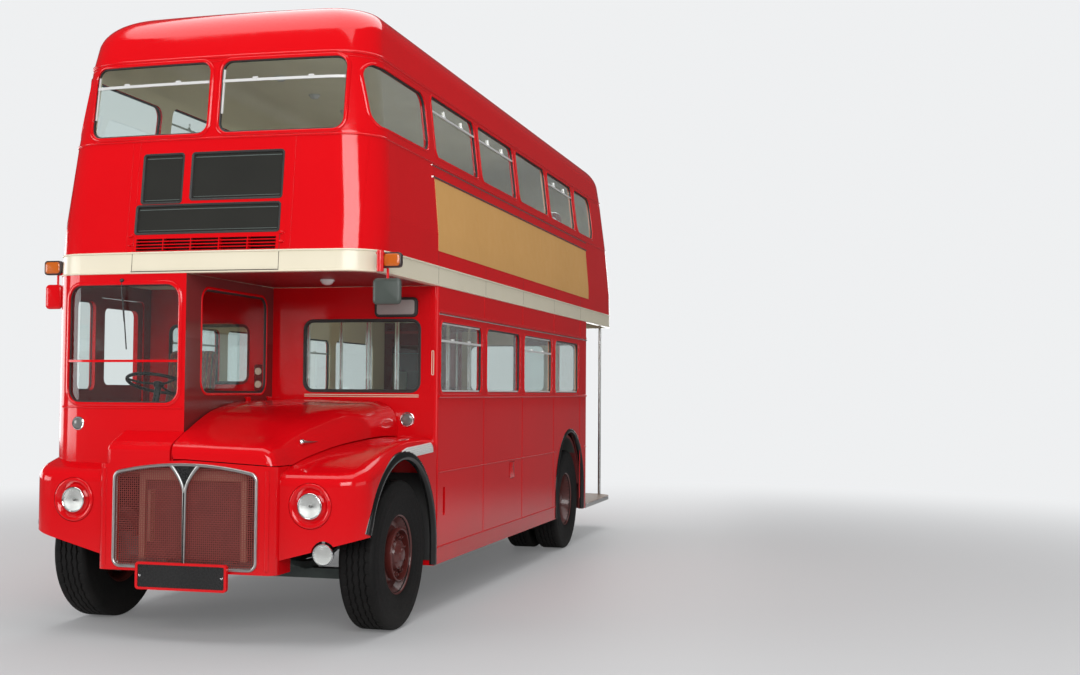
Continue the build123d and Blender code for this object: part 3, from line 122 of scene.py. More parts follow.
floor_mesh = bpy.data.meshes.new("studio_floor")
floor_mesh.from_pydata([(-FLOOR_REACH, -FLOOR_REACH, 0), (FLOOR_REACH, -FLOOR_REACH, 0),
                        (FLOOR_REACH, FLOOR_REACH, 0), (-FLOOR_REACH, FLOOR_REACH, 0)], [], [(0, 1, 2, 3)])
floor = bpy.data.objects.new("studio_floor", floor_mesh)
bpy.context.scene.collection.objects.link(floor)
floor_paint, paint_tree, floor_shader = bare_finish(
    "studio_floor", {"Base Color": FLOOR_TONE, "Roughness": 0.6, "Specular IOR Level": 0.15})
floor_ray = add_node(paint_tree, "ShaderNodeLightPath", {})
mirrored_floor = add_node(paint_tree, "ShaderNodeMapRange", {"Value": floor_ray.outputs["Is Glossy Ray"],
                                                             "To Min": 1.0, "To Max": MIRRORED_FLOOR})
far_tone = add_node(paint_tree, "ShaderNodeEmission",
                    {"Color": AIR_TONE, "Strength": mirrored_floor.outputs["Result"]})
floor_place = add_node(paint_tree, "ShaderNodeTexCoord", {})
from_bus = add_node(paint_tree, "ShaderNodeVectorMath", {0: floor_place.outputs["Object"]},
                    operation="LENGTH")
fade = add_node(paint_tree, "ShaderNodeMapRange",
                {"Value": from_bus.outputs["Value"], "From Min": FADE_START, "From Max": FADE_END,
                 "To Min": FADE_SHARE}, interpolation_type="SMOOTHSTEP")
faded = either(paint_tree, fade.outputs["Result"], floor_shader.outputs["BSDF"],
               far_tone.outputs["Emission"])
paint_tree.links.new(faded, paint_tree.nodes["Material Output"].inputs["Surface"])
floor_mesh.materials.append(floor_paint)
floor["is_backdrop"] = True


def soft_lamp(name, place, aim, size, power):
    """A rectangular lamp at place that faces the point aim."""
    data = bpy.data.lights.new(name, "AREA")
    data.shape = "RECTANGLE"
    data.size, data.size_y = size
    data.energy = power
    lamp = bpy.data.objects.new(name, data)
    bpy.context.scene.collection.objects.link(lamp)
    from_to = np.array(aim, float) - np.array(place, float)
    lamp.location = place
    lamp.rotation_mode = "QUATERNION"
    lamp.rotation_quaternion = Vector(from_to).to_track_quat("-Z", "Y")
    lamp.visible_camera = False
    lamp.visible_transmission = False
    return lamp


soft_lamp("lamp_above", (0, 0, 11), (0, 0, 0), (11, 17), 1250)
soft_lamp("lamp_kerb", (14, -5, 2.9), (0, 0, 2.0), (11, 4.4), 150)
soft_lamp("lamp_front", (5.5, -16, 6.6), (0, -3, 2.0), (10, 6), 1300)
soft_lamp("lamp_corner", (-11, -10, 2.8), (0, -3, 2.0), (7, 4.2), 420)
soft_lamp("lamp_off", (-14, 3, 2.8), (0, 0, 2.0), (11, 4.2), 480)
soft_lamp("lamp_rear", (-3, 16, 2.8), (0, 3, 2.0), (9, 4.2), 440)
soft_lamp("lamp_upper_saloon", (0, -0.2, 3.30), (0, -0.2, 5), (1.2, 6.4), 14)
soft_lamp("lamp_lower_saloon", (0, -0.2, 1.75), (0, -0.2, 4), (0.9, 4.0), 8)

# Camera: at the photograph's viewing point, with its lens. The place, the turns and the middle pixel
# were solved from points of the bus whose sizes are known, for an image of 1080 by 675 pixels.
PHOTO_WIDTH = 1080
PHOTO_HEIGHT = 675
FOCAL_PIXELS = 1346.5
SENSOR = 36
CAMERA_PLACE = (4.436, -12.209, 1.647)
YAW, PITCH, ROLL = math.radians(14.35), math.radians(2.38), math.radians(0.37)
CENTRE_PIXEL = (537.8, 336.0)
camera_data = bpy.data.cameras.new("photo_camera")
camera_data.sensor_width = SENSOR
camera_data.lens = FOCAL_PIXELS / PHOTO_WIDTH * SENSOR
camera_data.shift_x = (PHOTO_WIDTH / 2 - CENTRE_PIXEL[0]) / PHOTO_WIDTH
camera_data.shift_y = (CENTRE_PIXEL[1] - PHOTO_HEIGHT / 2) / PHOTO_WIDTH
camera = bpy.data.objects.new("photo_camera", camera_data)
bpy.context.scene.collection.objects.link(camera)
forward = np.array([-math.sin(YAW) * math.cos(PITCH), math.cos(YAW) * math.cos(PITCH), math.sin(PITCH)])
level_right = np.array([math.cos(YAW), math.sin(YAW), 0])
level_up = np.cross(level_right, forward)
right = math.cos(ROLL) * level_right + math.sin(ROLL) * level_up
up = np.cross(right, forward)
camera.matrix_world = Matrix([[right[0], up[0], -forward[0], CAMERA_PLACE[0]],
                                 [right[1], up[1], -forward[1], CAMERA_PLACE[1]],
                                 [right[2], up[2], -forward[2], CAMERA_PLACE[2]],
                                 [0, 0, 0, 1]])
bpy.context.scene.camera = camera
bpy.context.scene.view_settings.view_transform = "Standard"

# Underframe: two pressed steel beams with cross members, the axles on their spring
# seats, and the steering knuckles. All of it is grey-green chassis paint, dulled by
# road film, and shows below the skirt and behind the grille.


def colour_mix(tree, share, first, second):
    """The colour between two colours or sockets, by the share of the second."""
    mix = add_node(tree, "ShaderNodeMix", {"Factor": share, "A": first, "B": second}, data_type="RGBA")
    return mix.outputs["Result"]


def drifting(name, colour, deep, rough, drift_size=3.0, grain_size=60.0, grain_depth=0.0, metallic=0.0,
             coat=0.0, dust_and_shade=None):
    """A finish whose colour drifts between two near shades while its gloss follows a finer grain.

    The tint given as the last argument, if any, is a colour and two heights: it grows from the higher one
    down to the lower one. On the tyres it is dust; on the lower side red it is painted shade that darkens
    the red towards the bottom.
    """
    material, tree, shader = bare_finish(name, {"Metallic": metallic, "Coat Weight": coat,
                                                "Coat Roughness": 0.04})
    place = add_node(tree, "ShaderNodeTexCoord", {}).outputs["Object"]
    drift = add_node(tree, "ShaderNodeTexNoise", {"Vector": place, "Scale": drift_size,
                                                  "Detail": 4}).outputs["Fac"]
    last = colour_mix(tree, drift, (*colour, 1), (*deep, 1))
    if dust_and_shade:
        dust_and_shade_colour, dust_and_shade_high, dust_and_shade_low = dust_and_shade
        parts = add_node(tree, "ShaderNodeSeparateXYZ", {"Vector": place})
        height = add_node(tree, "ShaderNodeMapRange",
                          {"Value": parts.outputs["Z"], "From Min": dust_and_shade_high, "From Max": dust_and_shade_low})
        patchy = worked_out(tree, "MULTIPLY", height.outputs["Result"], drift)
        last = colour_mix(tree, patchy, last, (*dust_and_shade_colour, 1))
    tree.links.new(last, shader.inputs["Base Color"])
    grain = add_node(tree, "ShaderNodeTexNoise", {"Vector": place, "Scale": grain_size,
                                                  "Detail": 3}).outputs["Fac"]
    gloss = add_node(tree, "ShaderNodeMapRange", {"Value": grain, "To Min": rough[0], "To Max": rough[1]})
    tree.links.new(gloss.outputs["Result"], shader.inputs["Roughness"])
    if grain_depth:
        bump = add_node(tree, "ShaderNodeBump", {"Height": grain, "Distance": grain_depth})
        tree.links.new(bump.outputs["Normal"], shader.inputs["Normal"])
    return material


def dress(material, *names):
    """Gives CAD nodes their finish."""
    for name in names:
        nodes[name].data.materials.clear()
        nodes[name].data.materials.append(material)


chassis_paint = drifting("chassis_paint", (0.10, 0.13, 0.12), (0.05, 0.06, 0.055), (0.45, 0.75),
                         6, 45, 0.0006)
cast_iron = drifting("cast_iron", (0.09, 0.095, 0.095), (0.04, 0.035, 0.03), (0.55, 0.85), 9, 120, 0.0012)
core_black = drifting("radiator_core", (0.15, 0.050, 0.038), (0.08, 0.026, 0.022), (0.5, 0.8),
                      12, 160, 0.0015)
dress(chassis_paint, "chassis_frame", "axles", "fuel_tank", "front_near_knuckle", "front_off_knuckle")
dress(cast_iron, "engine")
dress(core_black, "radiator")

# Tyres: cross-ply rubber moulded in a ribbed mould, with four wandering grooves and fine sipes in the tread.
# Each is pressed on its rim; the rear wheels carry two a side, which turn as one.
FRONT_AXLE_Y = -3.345
REAR_AXLE_Y = 1.786
AXLE_Z = 0.515
TYRE_RADIUS = 0.515
TYRE_WIDTH = 0.265
RIM_RADIUS = 0.254
FRONT_TRACK = 1.068
REAR_TRACK = 1.056
TWIN_GAP = 0.312
TREAD_HALF = 0.094
GROOVE_PLACES = (-0.062, -0.022, 0.022, 0.062)
GROOVE_HALF = 0.0042
GROOVE_DEPTH = 0.011
GROOVE_WANDER = 0.0045
GROOVE_WAVES = 40
TYRE_TURNS = 320
HANDS = ((1, "near"), (-1, "off"))


def grid_faces(rows, columns, closed_rows=False, closed_columns=False):
    """Quads of a grid whose points are numbered row by row; a closed way joins its last
    line to its first."""
    r = np.arange(rows if closed_rows else rows - 1)[:, None]
    c = np.arange(columns if closed_columns else columns - 1)[None, :]
    near, far, c2 = r * columns, (r + 1) % rows * columns, (c + 1) % columns
    return np.stack(np.broadcast_arrays(near + c, near + c2, far + c2, far + c), -1).reshape(-1, 4).tolist()


def ring_faces(rows, columns):
    """Quads of a grid that closes both ways, as a turned profile's does."""
    return grid_faces(rows, columns, closed_rows=True, closed_columns=True)


def full_turn(steps):
    """Evenly spaced angles round a full turn, without its end."""
    return np.linspace(0, 2 * math.pi, steps, endpoint=False)


def capped_faces(rows, columns):
    """Faces of a tube of closed rings, with one face across the first ring and one across the last."""
    first, last = range(columns), range((rows - 1) * columns, rows * columns)
    return grid_faces(rows, columns, closed_columns=True) + [list(first), list(last)]


def piece(name, parts, body, material, sharp=35):
    """One object from parts of (points, faces), its normals turned out, riding on a body.

    material is one finish or a list of them; a part may end with the number of its own in that list.
    """
    finishes = material if isinstance(material, list) else [material]
    shell = bmesh.new()
    for part in parts:
        raw = bpy.data.meshes.new("part")
        raw.from_pydata(np.asarray(part[0], float).reshape(-1, 3).tolist(), [], part[1])
        if len(part) > 2:
            raw.polygons.foreach_set("material_index", np.full(len(raw.polygons), part[2], np.int32))
        shell.from_mesh(raw)
        bpy.data.meshes.remove(raw)
    bmesh.ops.remove_doubles(shell, verts=shell.verts, dist=1e-6)
    bmesh.ops.dissolve_degenerate(shell, edges=shell.edges, dist=1e-7)
    bmesh.ops.recalc_face_normals(shell, faces=shell.faces)
    mesh = bpy.data.meshes.new(name)
    shell.to_mesh(mesh)
    shell.free()
    mesh.polygons.foreach_set("use_smooth", np.ones(len(mesh.polygons), bool))
    mesh.set_sharp_from_angle(angle=math.radians(sharp))
    for finish in finishes:
        mesh.materials.append(finish)
    made = bpy.data.objects.new(name, mesh)
    bpy.context.scene.collection.objects.link(made)
    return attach(made, body)


def tyre_points():
    """The tyre's section (wall, shoulder, tread, shoulder, wall, bead) turned about X.

    Across the tread the radius drops by the groove depth where the point lies within
    half a groove of one of the groove lines, and each line wanders across as a triangle
    wave of the turn. Sipes are shallow cuts by angle.
    """
    half = TYRE_WIDTH / 2
    tread_x = np.linspace(-TREAD_HALF, TREAD_HALF, 46)
    shoulder = np.radians(np.linspace(90, 8, 9)[1:])
    shoulder_x = TREAD_HALF + (half - 0.004 - TREAD_HALF) * np.cos(shoulder)
    shoulder_r = TYRE_RADIUS - 0.036 + 0.036 * np.sin(shoulder)
    wall_share = np.linspace(0, 1, 12)[1:]
    wall_r = (TYRE_RADIUS - 0.032) + (RIM_RADIUS + 0.022 - TYRE_RADIUS + 0.032) * wall_share
    wall_x = half - 0.004 + 0.004 * np.sin(wall_share * math.pi * 0.8) - 0.016 * wall_share ** 2.2
    ridge = 0.0022 * (np.abs(wall_share - 0.30) < 0.05) + 0.002 * (np.abs(wall_share - 0.82) < 0.05)
    bead_x = np.array([half - 0.030, half - 0.052])
    bead_r = np.array([RIM_RADIUS + 0.006, RIM_RADIUS + 0.002])
    side_x = np.concatenate([shoulder_x, wall_x + ridge, bead_x])
    side_r = np.concatenate([shoulder_r, wall_r, bead_r])
    x = np.concatenate([-side_x[::-1], tread_x, side_x])
    r = np.concatenate([side_r[::-1], np.full(len(tread_x), TYRE_RADIUS), side_r])
    turn = full_turn(TYRE_TURNS)[:, None]
    wave = turn * GROOVE_WAVES / (2 * math.pi) % 1
    wander = GROOVE_WANDER * (4 * np.abs(wave - 0.5) - 1)
    cut = np.zeros((TYRE_TURNS, len(x)))
    for n, groove in enumerate(GROOVE_PLACES):
        cut = np.maximum(cut, np.abs(x[None, :] - groove - wander * (1 if n % 2 else -1)) < GROOVE_HALF)
    on_tread = (np.abs(x) <= TREAD_HALF)[None, :]
    sipes = (np.arange(TYRE_TURNS)[:, None] % 8 == 0) * (np.abs(np.abs(x[None, :]) - 0.084) < 0.012)
    radius = r[None, :] - on_tread * (GROOVE_DEPTH * cut) - 0.004 * sipes
    return np.stack(np.broadcast_arrays(x[None, :], radius * np.sin(turn), radius * np.cos(turn)), -1)


tyre_rubber = drifting("tyre_rubber", (0.005, 0.005, 0.005), (0.011, 0.010, 0.0095), (0.5, 0.8), 7, 90,
                       0.0004, dust_and_shade=((0.030, 0.027, 0.024), 0.30, -0.1))
tyre_rubber.node_tree.nodes["Principled BSDF"].inputs["Specular IOR Level"].default_value = 0.2
tyre_shape = tyre_points()
tyre_faces = ring_faces(*tyre_shape.shape[:2])


def tyre_at(x, y):
    """The tyre's points moved to its place on the axle."""
    return tyre_shape + np.array([x, y, AXLE_Z]), tyre_faces


for side, hand in HANDS:
    front = piece(f"front_{hand}_tread", [tyre_at(side * FRONT_TRACK, FRONT_AXLE_Y)], f"wheel_front_{hand}",
                  tyre_rubber, sharp=28)
    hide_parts(f"front_{hand}_tyre")
    pair = [tyre_at(side * REAR_TRACK, REAR_AXLE_Y), tyre_at(side * (REAR_TRACK - TWIN_GAP), REAR_AXLE_Y)]
    rear = piece(f"rear_{hand}_treads", pair, f"wheel_rear_{hand}", tyre_rubber, sharp=28)
    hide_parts(f"rear_{hand}_tyres")

# Wheels: pressed steel discs on rolled rims, ten studs with hexagon nuts, and a proud
# guard ring at the front. They are sprayed maroon brown over everything, hub included.
RIM_LIP = 0.279
STUDS = 10
NUT_ACROSS = 0.019
NUT_HIGH = 0.022


def turned(profile, x, y, z, turns=72, side=1):
    """A closed profile of (distance along the axle, radius) turned about X; side -1 makes the other hand."""
    a = np.array(profile, float)
    angle = full_turn(turns)[:, None]
    points = np.stack(np.broadcast_arrays(x + side * a[None, :, 0], y + a[None, :, 1] * np.sin(angle),
                                          z + a[None, :, 1] * np.cos(angle)), -1)
    return points, ring_faces(turns, len(a))


def nuts_on_ring(x, y, z, ring, count, across, high, side, phase=0.0):
    """Chamfered hexagon nuts on a ring about X: six-sided rings at the base, the
    shoulder and the top, and the stud end."""
    steps = np.array([(0, across), (high * 0.8, across), (high, across * 0.86),
                      (high, across * 0.5), (high * 1.5, across * 0.48),
                      (high * 1.55, across * 0.3), (high * 1.55, 0.0), (0, 0.0)])
    parts = []
    for place in full_turn(count) + phase:
        parts.append(turned(steps, x, y + ring * math.sin(place), z + ring * math.cos(place), 6, side))
    return parts


OUTER_LIP = [(0.108, RIM_LIP), (0.114, RIM_LIP - 0.006), (0.110, RIM_LIP - 0.014), (0.092, RIM_LIP - 0.022)]
RIM_INSIDE = [(-0.108, RIM_LIP - 0.014), (-0.112, RIM_LIP - 0.006), (-0.108, RIM_LIP),
              (-0.100, RIM_LIP - 0.006), (-0.094, 0.258), (0.0, 0.2535), (0.094, 0.258),
              (0.100, RIM_LIP - 0.006)]
FRONT_DISH = [*OUTER_LIP, (0.070, RIM_LIP - 0.036), (0.052, 0.232), (0.046, 0.205), (0.062, 0.190),
              (0.078, 0.172), (0.082, 0.150), (0.082, 0.118), (0.096, 0.106), (0.118, 0.098),
              (0.128, 0.080), (0.132, 0.052), (0.138, 0.044), (0.146, 0.040), (0.150, 0.024), (0.150, 0.0),
              (0.040, 0.0), (0.020, 0.20), (0.020, 0.246), (-0.085, 0.246), *RIM_INSIDE]
GUARD_RING = [(0.080, 0.178), (0.116, 0.186), (0.127, 0.183), (0.131, 0.176), (0.127, 0.170), (0.116, 0.172),
              (0.080, 0.166)]
REAR_DISH = [*OUTER_LIP, (0.030, 0.238), (-0.030, 0.226), (-0.052, 0.200), (-0.060, 0.170), (-0.060, 0.118),
             (-0.046, 0.106), (0.010, 0.100), (0.040, 0.086), (0.048, 0.060), (0.056, 0.052),
             (0.066, 0.040), (0.068, 0.0), (-0.090, 0.0), (-0.090, 0.246), *RIM_INSIDE]
maroon = drifting("wheel_maroon", (0.115, 0.020, 0.016), (0.060, 0.012, 0.010), (0.22, 0.42), 10, 70,
                  0.0003, coat=0.3)
for side, hand in HANDS:
    x = side * FRONT_TRACK
    parts = [turned(FRONT_DISH, x, FRONT_AXLE_Y, AXLE_Z, side=side),
             turned(GUARD_RING, x, FRONT_AXLE_Y, AXLE_Z, side=side)]
    parts += nuts_on_ring(x + side * 0.081, FRONT_AXLE_Y, AXLE_Z, 0.138, STUDS, NUT_ACROSS, NUT_HIGH, side)
    parts += nuts_on_ring(x + side * 0.117, FRONT_AXLE_Y, AXLE_Z, 0.086, 8, 0.008, 0.010, side, 0.2)
    front = piece(f"front_{hand}_wheel", parts, f"wheel_front_{hand}", maroon)
    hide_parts(f"front_{hand}_rim")
    x = side * REAR_TRACK
    parts = [turned(REAR_DISH, x, REAR_AXLE_Y, AXLE_Z, side=side)]
    parts += [turned(REAR_DISH, side * (REAR_TRACK - TWIN_GAP), REAR_AXLE_Y, AXLE_Z, side=-side)]
    parts += nuts_on_ring(x - side * 0.061, REAR_AXLE_Y, AXLE_Z, 0.138, STUDS, NUT_ACROSS, NUT_HIGH, side)
    parts += nuts_on_ring(x + side * 0.040, REAR_AXLE_Y, AXLE_Z, 0.072, 10, 0.008, 0.010, side, 0.2)
    rear = piece(f"rear_{hand}_wheels", parts, f"wheel_rear_{hand}", maroon)
    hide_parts(f"rear_{hand}_rims")

# Roof: two pressed domes and a riveted crown panel on hoops, sprayed red outside and
# lined with cream enamel inside. It sits on the gutter rail all round.
NOSE_Y = -4.191
HALF_WIDTH = 1.219
FRONT_BOW, REAR_BOW = 0.045, 0.040
FRONT_CORNER, REAR_CORNER = 0.280, 0.330
WALL = 0.048
# Height, half width, and stations of front and rear, from the waist to the gutter
DECK_LEVELS = np.array([(2.436, HALF_WIDTH, 0.238, 8.382), (2.573, HALF_WIDTH, 0.246, 8.382),
                        (2.830, 1.215, 0.275, 8.378), (3.390, 1.167, 0.334, 8.348),
                        (3.955, 1.101, 0.398, 8.302)])
GUTTER_Z = 3.955
CROWN_Z = 4.381
SHOULDER_Z = 4.092
SHOULDER = 0.262
FRONT_DOME, REAR_DOME = 0.455, 0.420
CROWN_FLAT = 0.420


def level_at(z):
    """Half width, front and rear stations of the upper body at height z, straight between the levels."""
    return [np.interp(z, DECK_LEVELS[:, 0], DECK_LEVELS[:, column]) for column in (1, 2, 3)]


def plan_ring(half, front, rear, inset=0.0):
    """The body's outline at one height, from the middle of the front round the kerb
    side to the rear and back.

    Each end is an arc through its corners and its bowed middle. A corner's circle
    touches the side line and, from inside, that arc, so its centre is one radius in
    from the side and lies the two radii's difference from the arc's centre.
    """
    w = half - inset
    quarters = []
    for end, bow, corner, way in ((front + inset, FRONT_BOW, FRONT_CORNER - inset, -1),
                                  (rear - REAR_BOW - inset, REAR_BOW, REAR_CORNER - inset, 1)):
        big = (w * w + bow * bow) / (2 * bow)
        centre = end + way * (bow - big)
        turn = math.asin((w - corner) / (big - corner))
        bow_turn = np.linspace(0, turn, 13)[:-1]
        corner_turn = np.linspace(turn, math.pi / 2, 13)
        corner_y = centre + way * (big - corner) * math.cos(turn)
        quarters.append((np.concatenate([big * np.sin(bow_turn), w - corner + corner * np.sin(corner_turn)]),
                         np.concatenate([centre + way * big * np.cos(bow_turn),
                                         corner_y + way * corner * np.cos(corner_turn)])))
    (front_x, front_y), (rear_x, rear_y) = quarters
    x = np.concatenate([front_x, np.full(40, w), rear_x[::-1]])
    y = np.concatenate([front_y, np.linspace(front_y[-1], rear_y[-1], 42)[1:-1], rear_y[::-1]])
    return np.concatenate([x, -x[-2:0:-1]]), np.concatenate([y, y[-2:0:-1]]) + NOSE_Y


def roof_skin(inset):
    """The roof's surface, its faces moved in by inset: plan rings by height.

    The side turns over on a circle; each dome draws in as one less the root of one less the square of the
    rise. The crown goes on as a parabola with the same slope, and its last ring folds on to the ridge.
    """
    gutter_half, front, rear = level_at(GUTTER_Z)
    rows = [(GUTTER_Z, gutter_half - inset, front + inset, rear - inset)]
    shoulder_x = gutter_half - 0.020 - SHOULDER
    for angle in np.radians(np.linspace(4, 82, 22)):
        z = SHOULDER_Z + (SHOULDER - inset) * math.sin(angle)
        rise = min(1.0, (z - GUTTER_Z) / (CROWN_Z - 0.026 - inset - GUTTER_Z))
        drawn = 1 - math.sqrt(1 - rise ** 2)
        rows.append((z, shoulder_x + (SHOULDER - inset) * math.cos(angle),
                     front + inset + (FRONT_DOME - inset) * drawn,
                     rear - inset - (REAR_DOME - inset) * drawn))
    z, half, front, rear = rows[-1]
    for share in np.linspace(0, 1, 9)[1:]:
        rows.append((z + (CROWN_Z - inset - z) * (1 - (1 - share) ** 2), half - CROWN_FLAT * share,
                     front + CROWN_FLAT * share, rear - CROWN_FLAT * share))
    outlines = [(row[0], *plan_ring(*row[1:])) for row in rows]
    rings = [np.stack([x, y, np.full(len(x), z)], -1) for z, x, y in outlines]
    ridge = rings[-1].copy()
    ridge[:, 0] = 0
    ridge[:, 1] = np.clip(ridge[:, 1], NOSE_Y + front + 2 * CROWN_FLAT, NOSE_Y + rear - 2 * CROWN_FLAT)
    return np.stack([*rings, ridge])


RED = (0.66, 0.003, 0.0065)
RED_DEEP = (0.57, 0.002, 0.005)
SHADOW_RED = (0.17, 0.006, 0.009)
CEILING_CREAM = (0.78, 0.70, 0.50)
GLOSS = (0.07, 0.13)


def coach_red(name, dust_and_shade=None):
    """The body's gloss red; groups of panels that are lined differently, or carry painted shade towards the
    bottom, have their own.
    """
    return drifting(name, RED, RED_DEEP, GLOSS, 1.3, 14, 0.0004, dust_and_shade=dust_and_shade)


gloss_red = coach_red("gloss_red")
ceiling_cream = drifting("ceiling_enamel", CEILING_CREAM, (0.54, 0.47, 0.31), (0.3, 0.45), 2, 60, 0.0001)
outer, inner = roof_skin(0.0), roof_skin(WALL)
rim = np.stack([outer[0], inner[0]])
roof = piece("roof_skin", [(outer, grid_faces(*outer.shape[:2], closed_columns=True), 0),
                           (inner, grid_faces(*inner.shape[:2], closed_columns=True), 1),
                           (rim, grid_faces(2, rim.shape[1], closed_columns=True), 0)],
             BODY, [gloss_red, ceiling_cream], sharp=40)
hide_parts("roof")

# Body mouldings: half-round aluminium beads pinned over the panel joints all round the upper body.
# The gutter and sill beads are painted with the body; those along the band are cream.
CREAM = (0.74, 0.68, 0.53)
CREAM_DEEP = (0.66, 0.60, 0.46)
# Height of the middle, height and stand out of each bead, and its finish: 0 red, 1 cream
BEADS = ((2.4430, 0.014, 0.009, 1), (2.5800, 0.014, 0.009, 1), (3.3680, 0.016, 0.008, 0),
         (3.9450, 0.020, 0.009, 0), (3.9130, 0.005, 0.003, 0))


def ring_bead(z, high, proud):
    """A half-round bead round the upper body: plan rings moved out by the cosine, and
    up by the sine, of one turn."""
    rings = []
    for angle in np.radians((-90, -65, -40, -15, 15, 40, 65, 90)):
        level = z + high / 2 * math.sin(angle)
        x, y = plan_ring(*level_at(level), -proud * math.cos(angle) - 0.0002)
        rings.append(np.stack([x, y, np.full(len(x), level)], -1))
    x, y = plan_ring(*level_at(z), 0.002)
    rings.append(np.stack([x, y, np.full(len(x), z)], -1))
    points = np.stack(rings)
    return points, ring_faces(*points.shape[:2])


cream = drifting("cream_enamel", CREAM, CREAM_DEEP, (0.16, 0.28), 2, 20, 0.0003)
beads = piece("body_beads", [(*ring_bead(z, high, proud), finish) for z, high, proud, finish in BEADS],
              BODY, [gloss_red, cream], sharp=50)
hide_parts("body_mouldings")
dress(cream, "waist_band")

# Panel joints: butt joints between panels, filled with black mastic, and the painted
# cover strips over the rest. The front panel below the blinds lifts off with its
# piece of the band, so it is outlined by open joints.


def side_wall_place(side):
    """Places (distance along Y, height, stand out) on a side wall, which leans as the levels do.

    Ahead of the corner's centre the wall follows the corner's circle, whose radius grows by the stand out.
    """
    def place(y, z, out):
        half, front, _ = level_at(z)
        big = (half ** 2 + FRONT_BOW ** 2) / (2 * FRONT_BOW)
        turn = np.arcsin((half - FRONT_CORNER) / (big - FRONT_CORNER))
        ahead = NOSE_Y + front - FRONT_BOW + big - (big - FRONT_CORNER) * np.cos(turn) - y
        reach = np.sqrt((FRONT_CORNER + out) ** 2 - np.clip(ahead, 0, FRONT_CORNER * 0.95) ** 2)
        return np.stack([side * (half - FRONT_CORNER + reach), y, z], -1)
    return place


def front_place(x, z, out):
    """Places (x, height, stand out) on the upper front: the bowed end and, past it, the corner's circle."""
    half, front, _ = level_at(z)
    big = (half ** 2 + FRONT_BOW ** 2) / (2 * FRONT_BOW)
    centre = front - FRONT_BOW + big
    turn = np.arcsin((half - FRONT_CORNER) / (big - FRONT_CORNER))
    corner_y = centre - (big - FRONT_CORNER) * np.cos(turn)
    bowed = centre - np.sqrt(big ** 2 - x ** 2)
    turned_in = np.sqrt(np.maximum(FRONT_CORNER ** 2 - (np.abs(x) - half + FRONT_CORNER) ** 2, 0))
    y = np.where(np.abs(x) > big * np.sin(turn), corner_y - turned_in, bowed)
    return np.stack([x, NOSE_Y + y - out, z], -1)


def folded_faces(rows, loop):
    """Faces of a plate whose every row runs out on one face and back on the other, with
    quads across both ends."""
    faces = grid_faces(rows, loop, closed_columns=True)
    for start in (0, (rows - 1) * loop):
        faces += [[start + n, start + n + 1, start + loop - 2 - n, start + loop - 1 - n]
                  for n in range(loop // 2 - 1)]
    return faces


def around(middle, half):
    """The span that reaches half to either side of its middle."""
    return middle - half, middle + half


def slab(a_span, b_span, low, high, place, a_steps=1, b_steps=2):
    """A closed plate on a wall: a grid of its outer face at high, one of its inner face
    at low, and its edges."""
    a, b = np.linspace(*a_span, a_steps + 1), np.linspace(*b_span, b_steps + 1)
    loop = np.concatenate([b, b[::-1]])
    stand = np.concatenate([np.full(len(b), high), np.full(len(b), low)])
    points = place(np.repeat(a, len(loop)), np.tile(loop, len(a)), np.tile(stand, len(a)))
    return points, folded_faces(len(a), len(loop))


mastic = drifting("joint_mastic", (0.035, 0.012, 0.012), (0.02, 0.01, 0.01), (0.6, 0.8), 30, 90)
JOINT = 0.0035
JOINT_PROUD = 0.0006
LIFT_PANEL_X = 0.545
joints = []
for side in (-1, 1):
    joints.append(slab((side * LIFT_PANEL_X, side * LIFT_PANEL_X + JOINT), (2.452, 2.700), -0.001,
                       JOINT_PROUD, front_place, 1, 6))
joints.append(slab((-LIFT_PANEL_X, LIFT_PANEL_X + JOINT), (2.449, 2.453), -0.001, 0.0098, front_place, 24))
joints.append(slab((-LIFT_PANEL_X, LIFT_PANEL_X + JOINT), (2.586, 2.5885), -0.001, 0.0018, front_place, 24))
for side in (-1, 1):
    for station in (1.548, 2.790, 4.009, 5.228, 6.447):
        joints.append(slab((NOSE_Y + station, NOSE_Y + station + JOINT * 0.7), (2.452, 3.358), -0.001,
                           JOINT_PROUD, side_wall_place(side), 1, 8))
piece("panel_joints", joints, BODY, mastic)

COVER = 0.0025
covers = []
for x0, x1 in ((-0.552, -0.542), (0.586, 0.622), (-0.603, -0.596), (1.101, 1.107), (-1.107, -1.101)):
    covers.append(slab((x0, x1), (2.5895, 3.3590), -0.001, COVER, front_place, 2, 10))
for side in (-1, 1):
    wall = side_wall_place(side)
    for station in (2.767, 4.006, 5.225, 6.444):
        covers.append(slab(around(NOSE_Y + station, 0.009), (0.492, 1.598), -0.001, COVER, wall))
        covers.append(slab(around(NOSE_Y + station, 0.009), (2.238, 2.4355), -0.001, COVER, wall))
piece("cover_strips", covers, BODY, gloss_red)

# Advertisement panels: plain ochre paper on aluminium sheets, pasted below the upper windows on both sides.
# A bright channel holds their top edge, and thin beads the ends. They carry no words.
OCHRE = (0.66, 0.36, 0.115)
AD_STATIONS = (1.545, 6.860)
AD_HEIGHTS = (2.700, 3.246)
ochre_paper = drifting("ochre_paper", OCHRE, (0.60, 0.32, 0.095), (0.32, 0.5), 1.6, 9, 0.0006)
polished = drifting("polished_aluminium", (0.80, 0.80, 0.78), (0.68, 0.68, 0.66), (0.14, 0.28), 14, 60,
                    0.0001, metallic=1.0)


def within(span, margin):
    """A span drawn in by a margin at both ends."""
    return span[0] + margin, span[1] - margin


def along(span):
    """A span of stations as distances along Y."""
    return NOSE_Y + span[0], NOSE_Y + span[1]


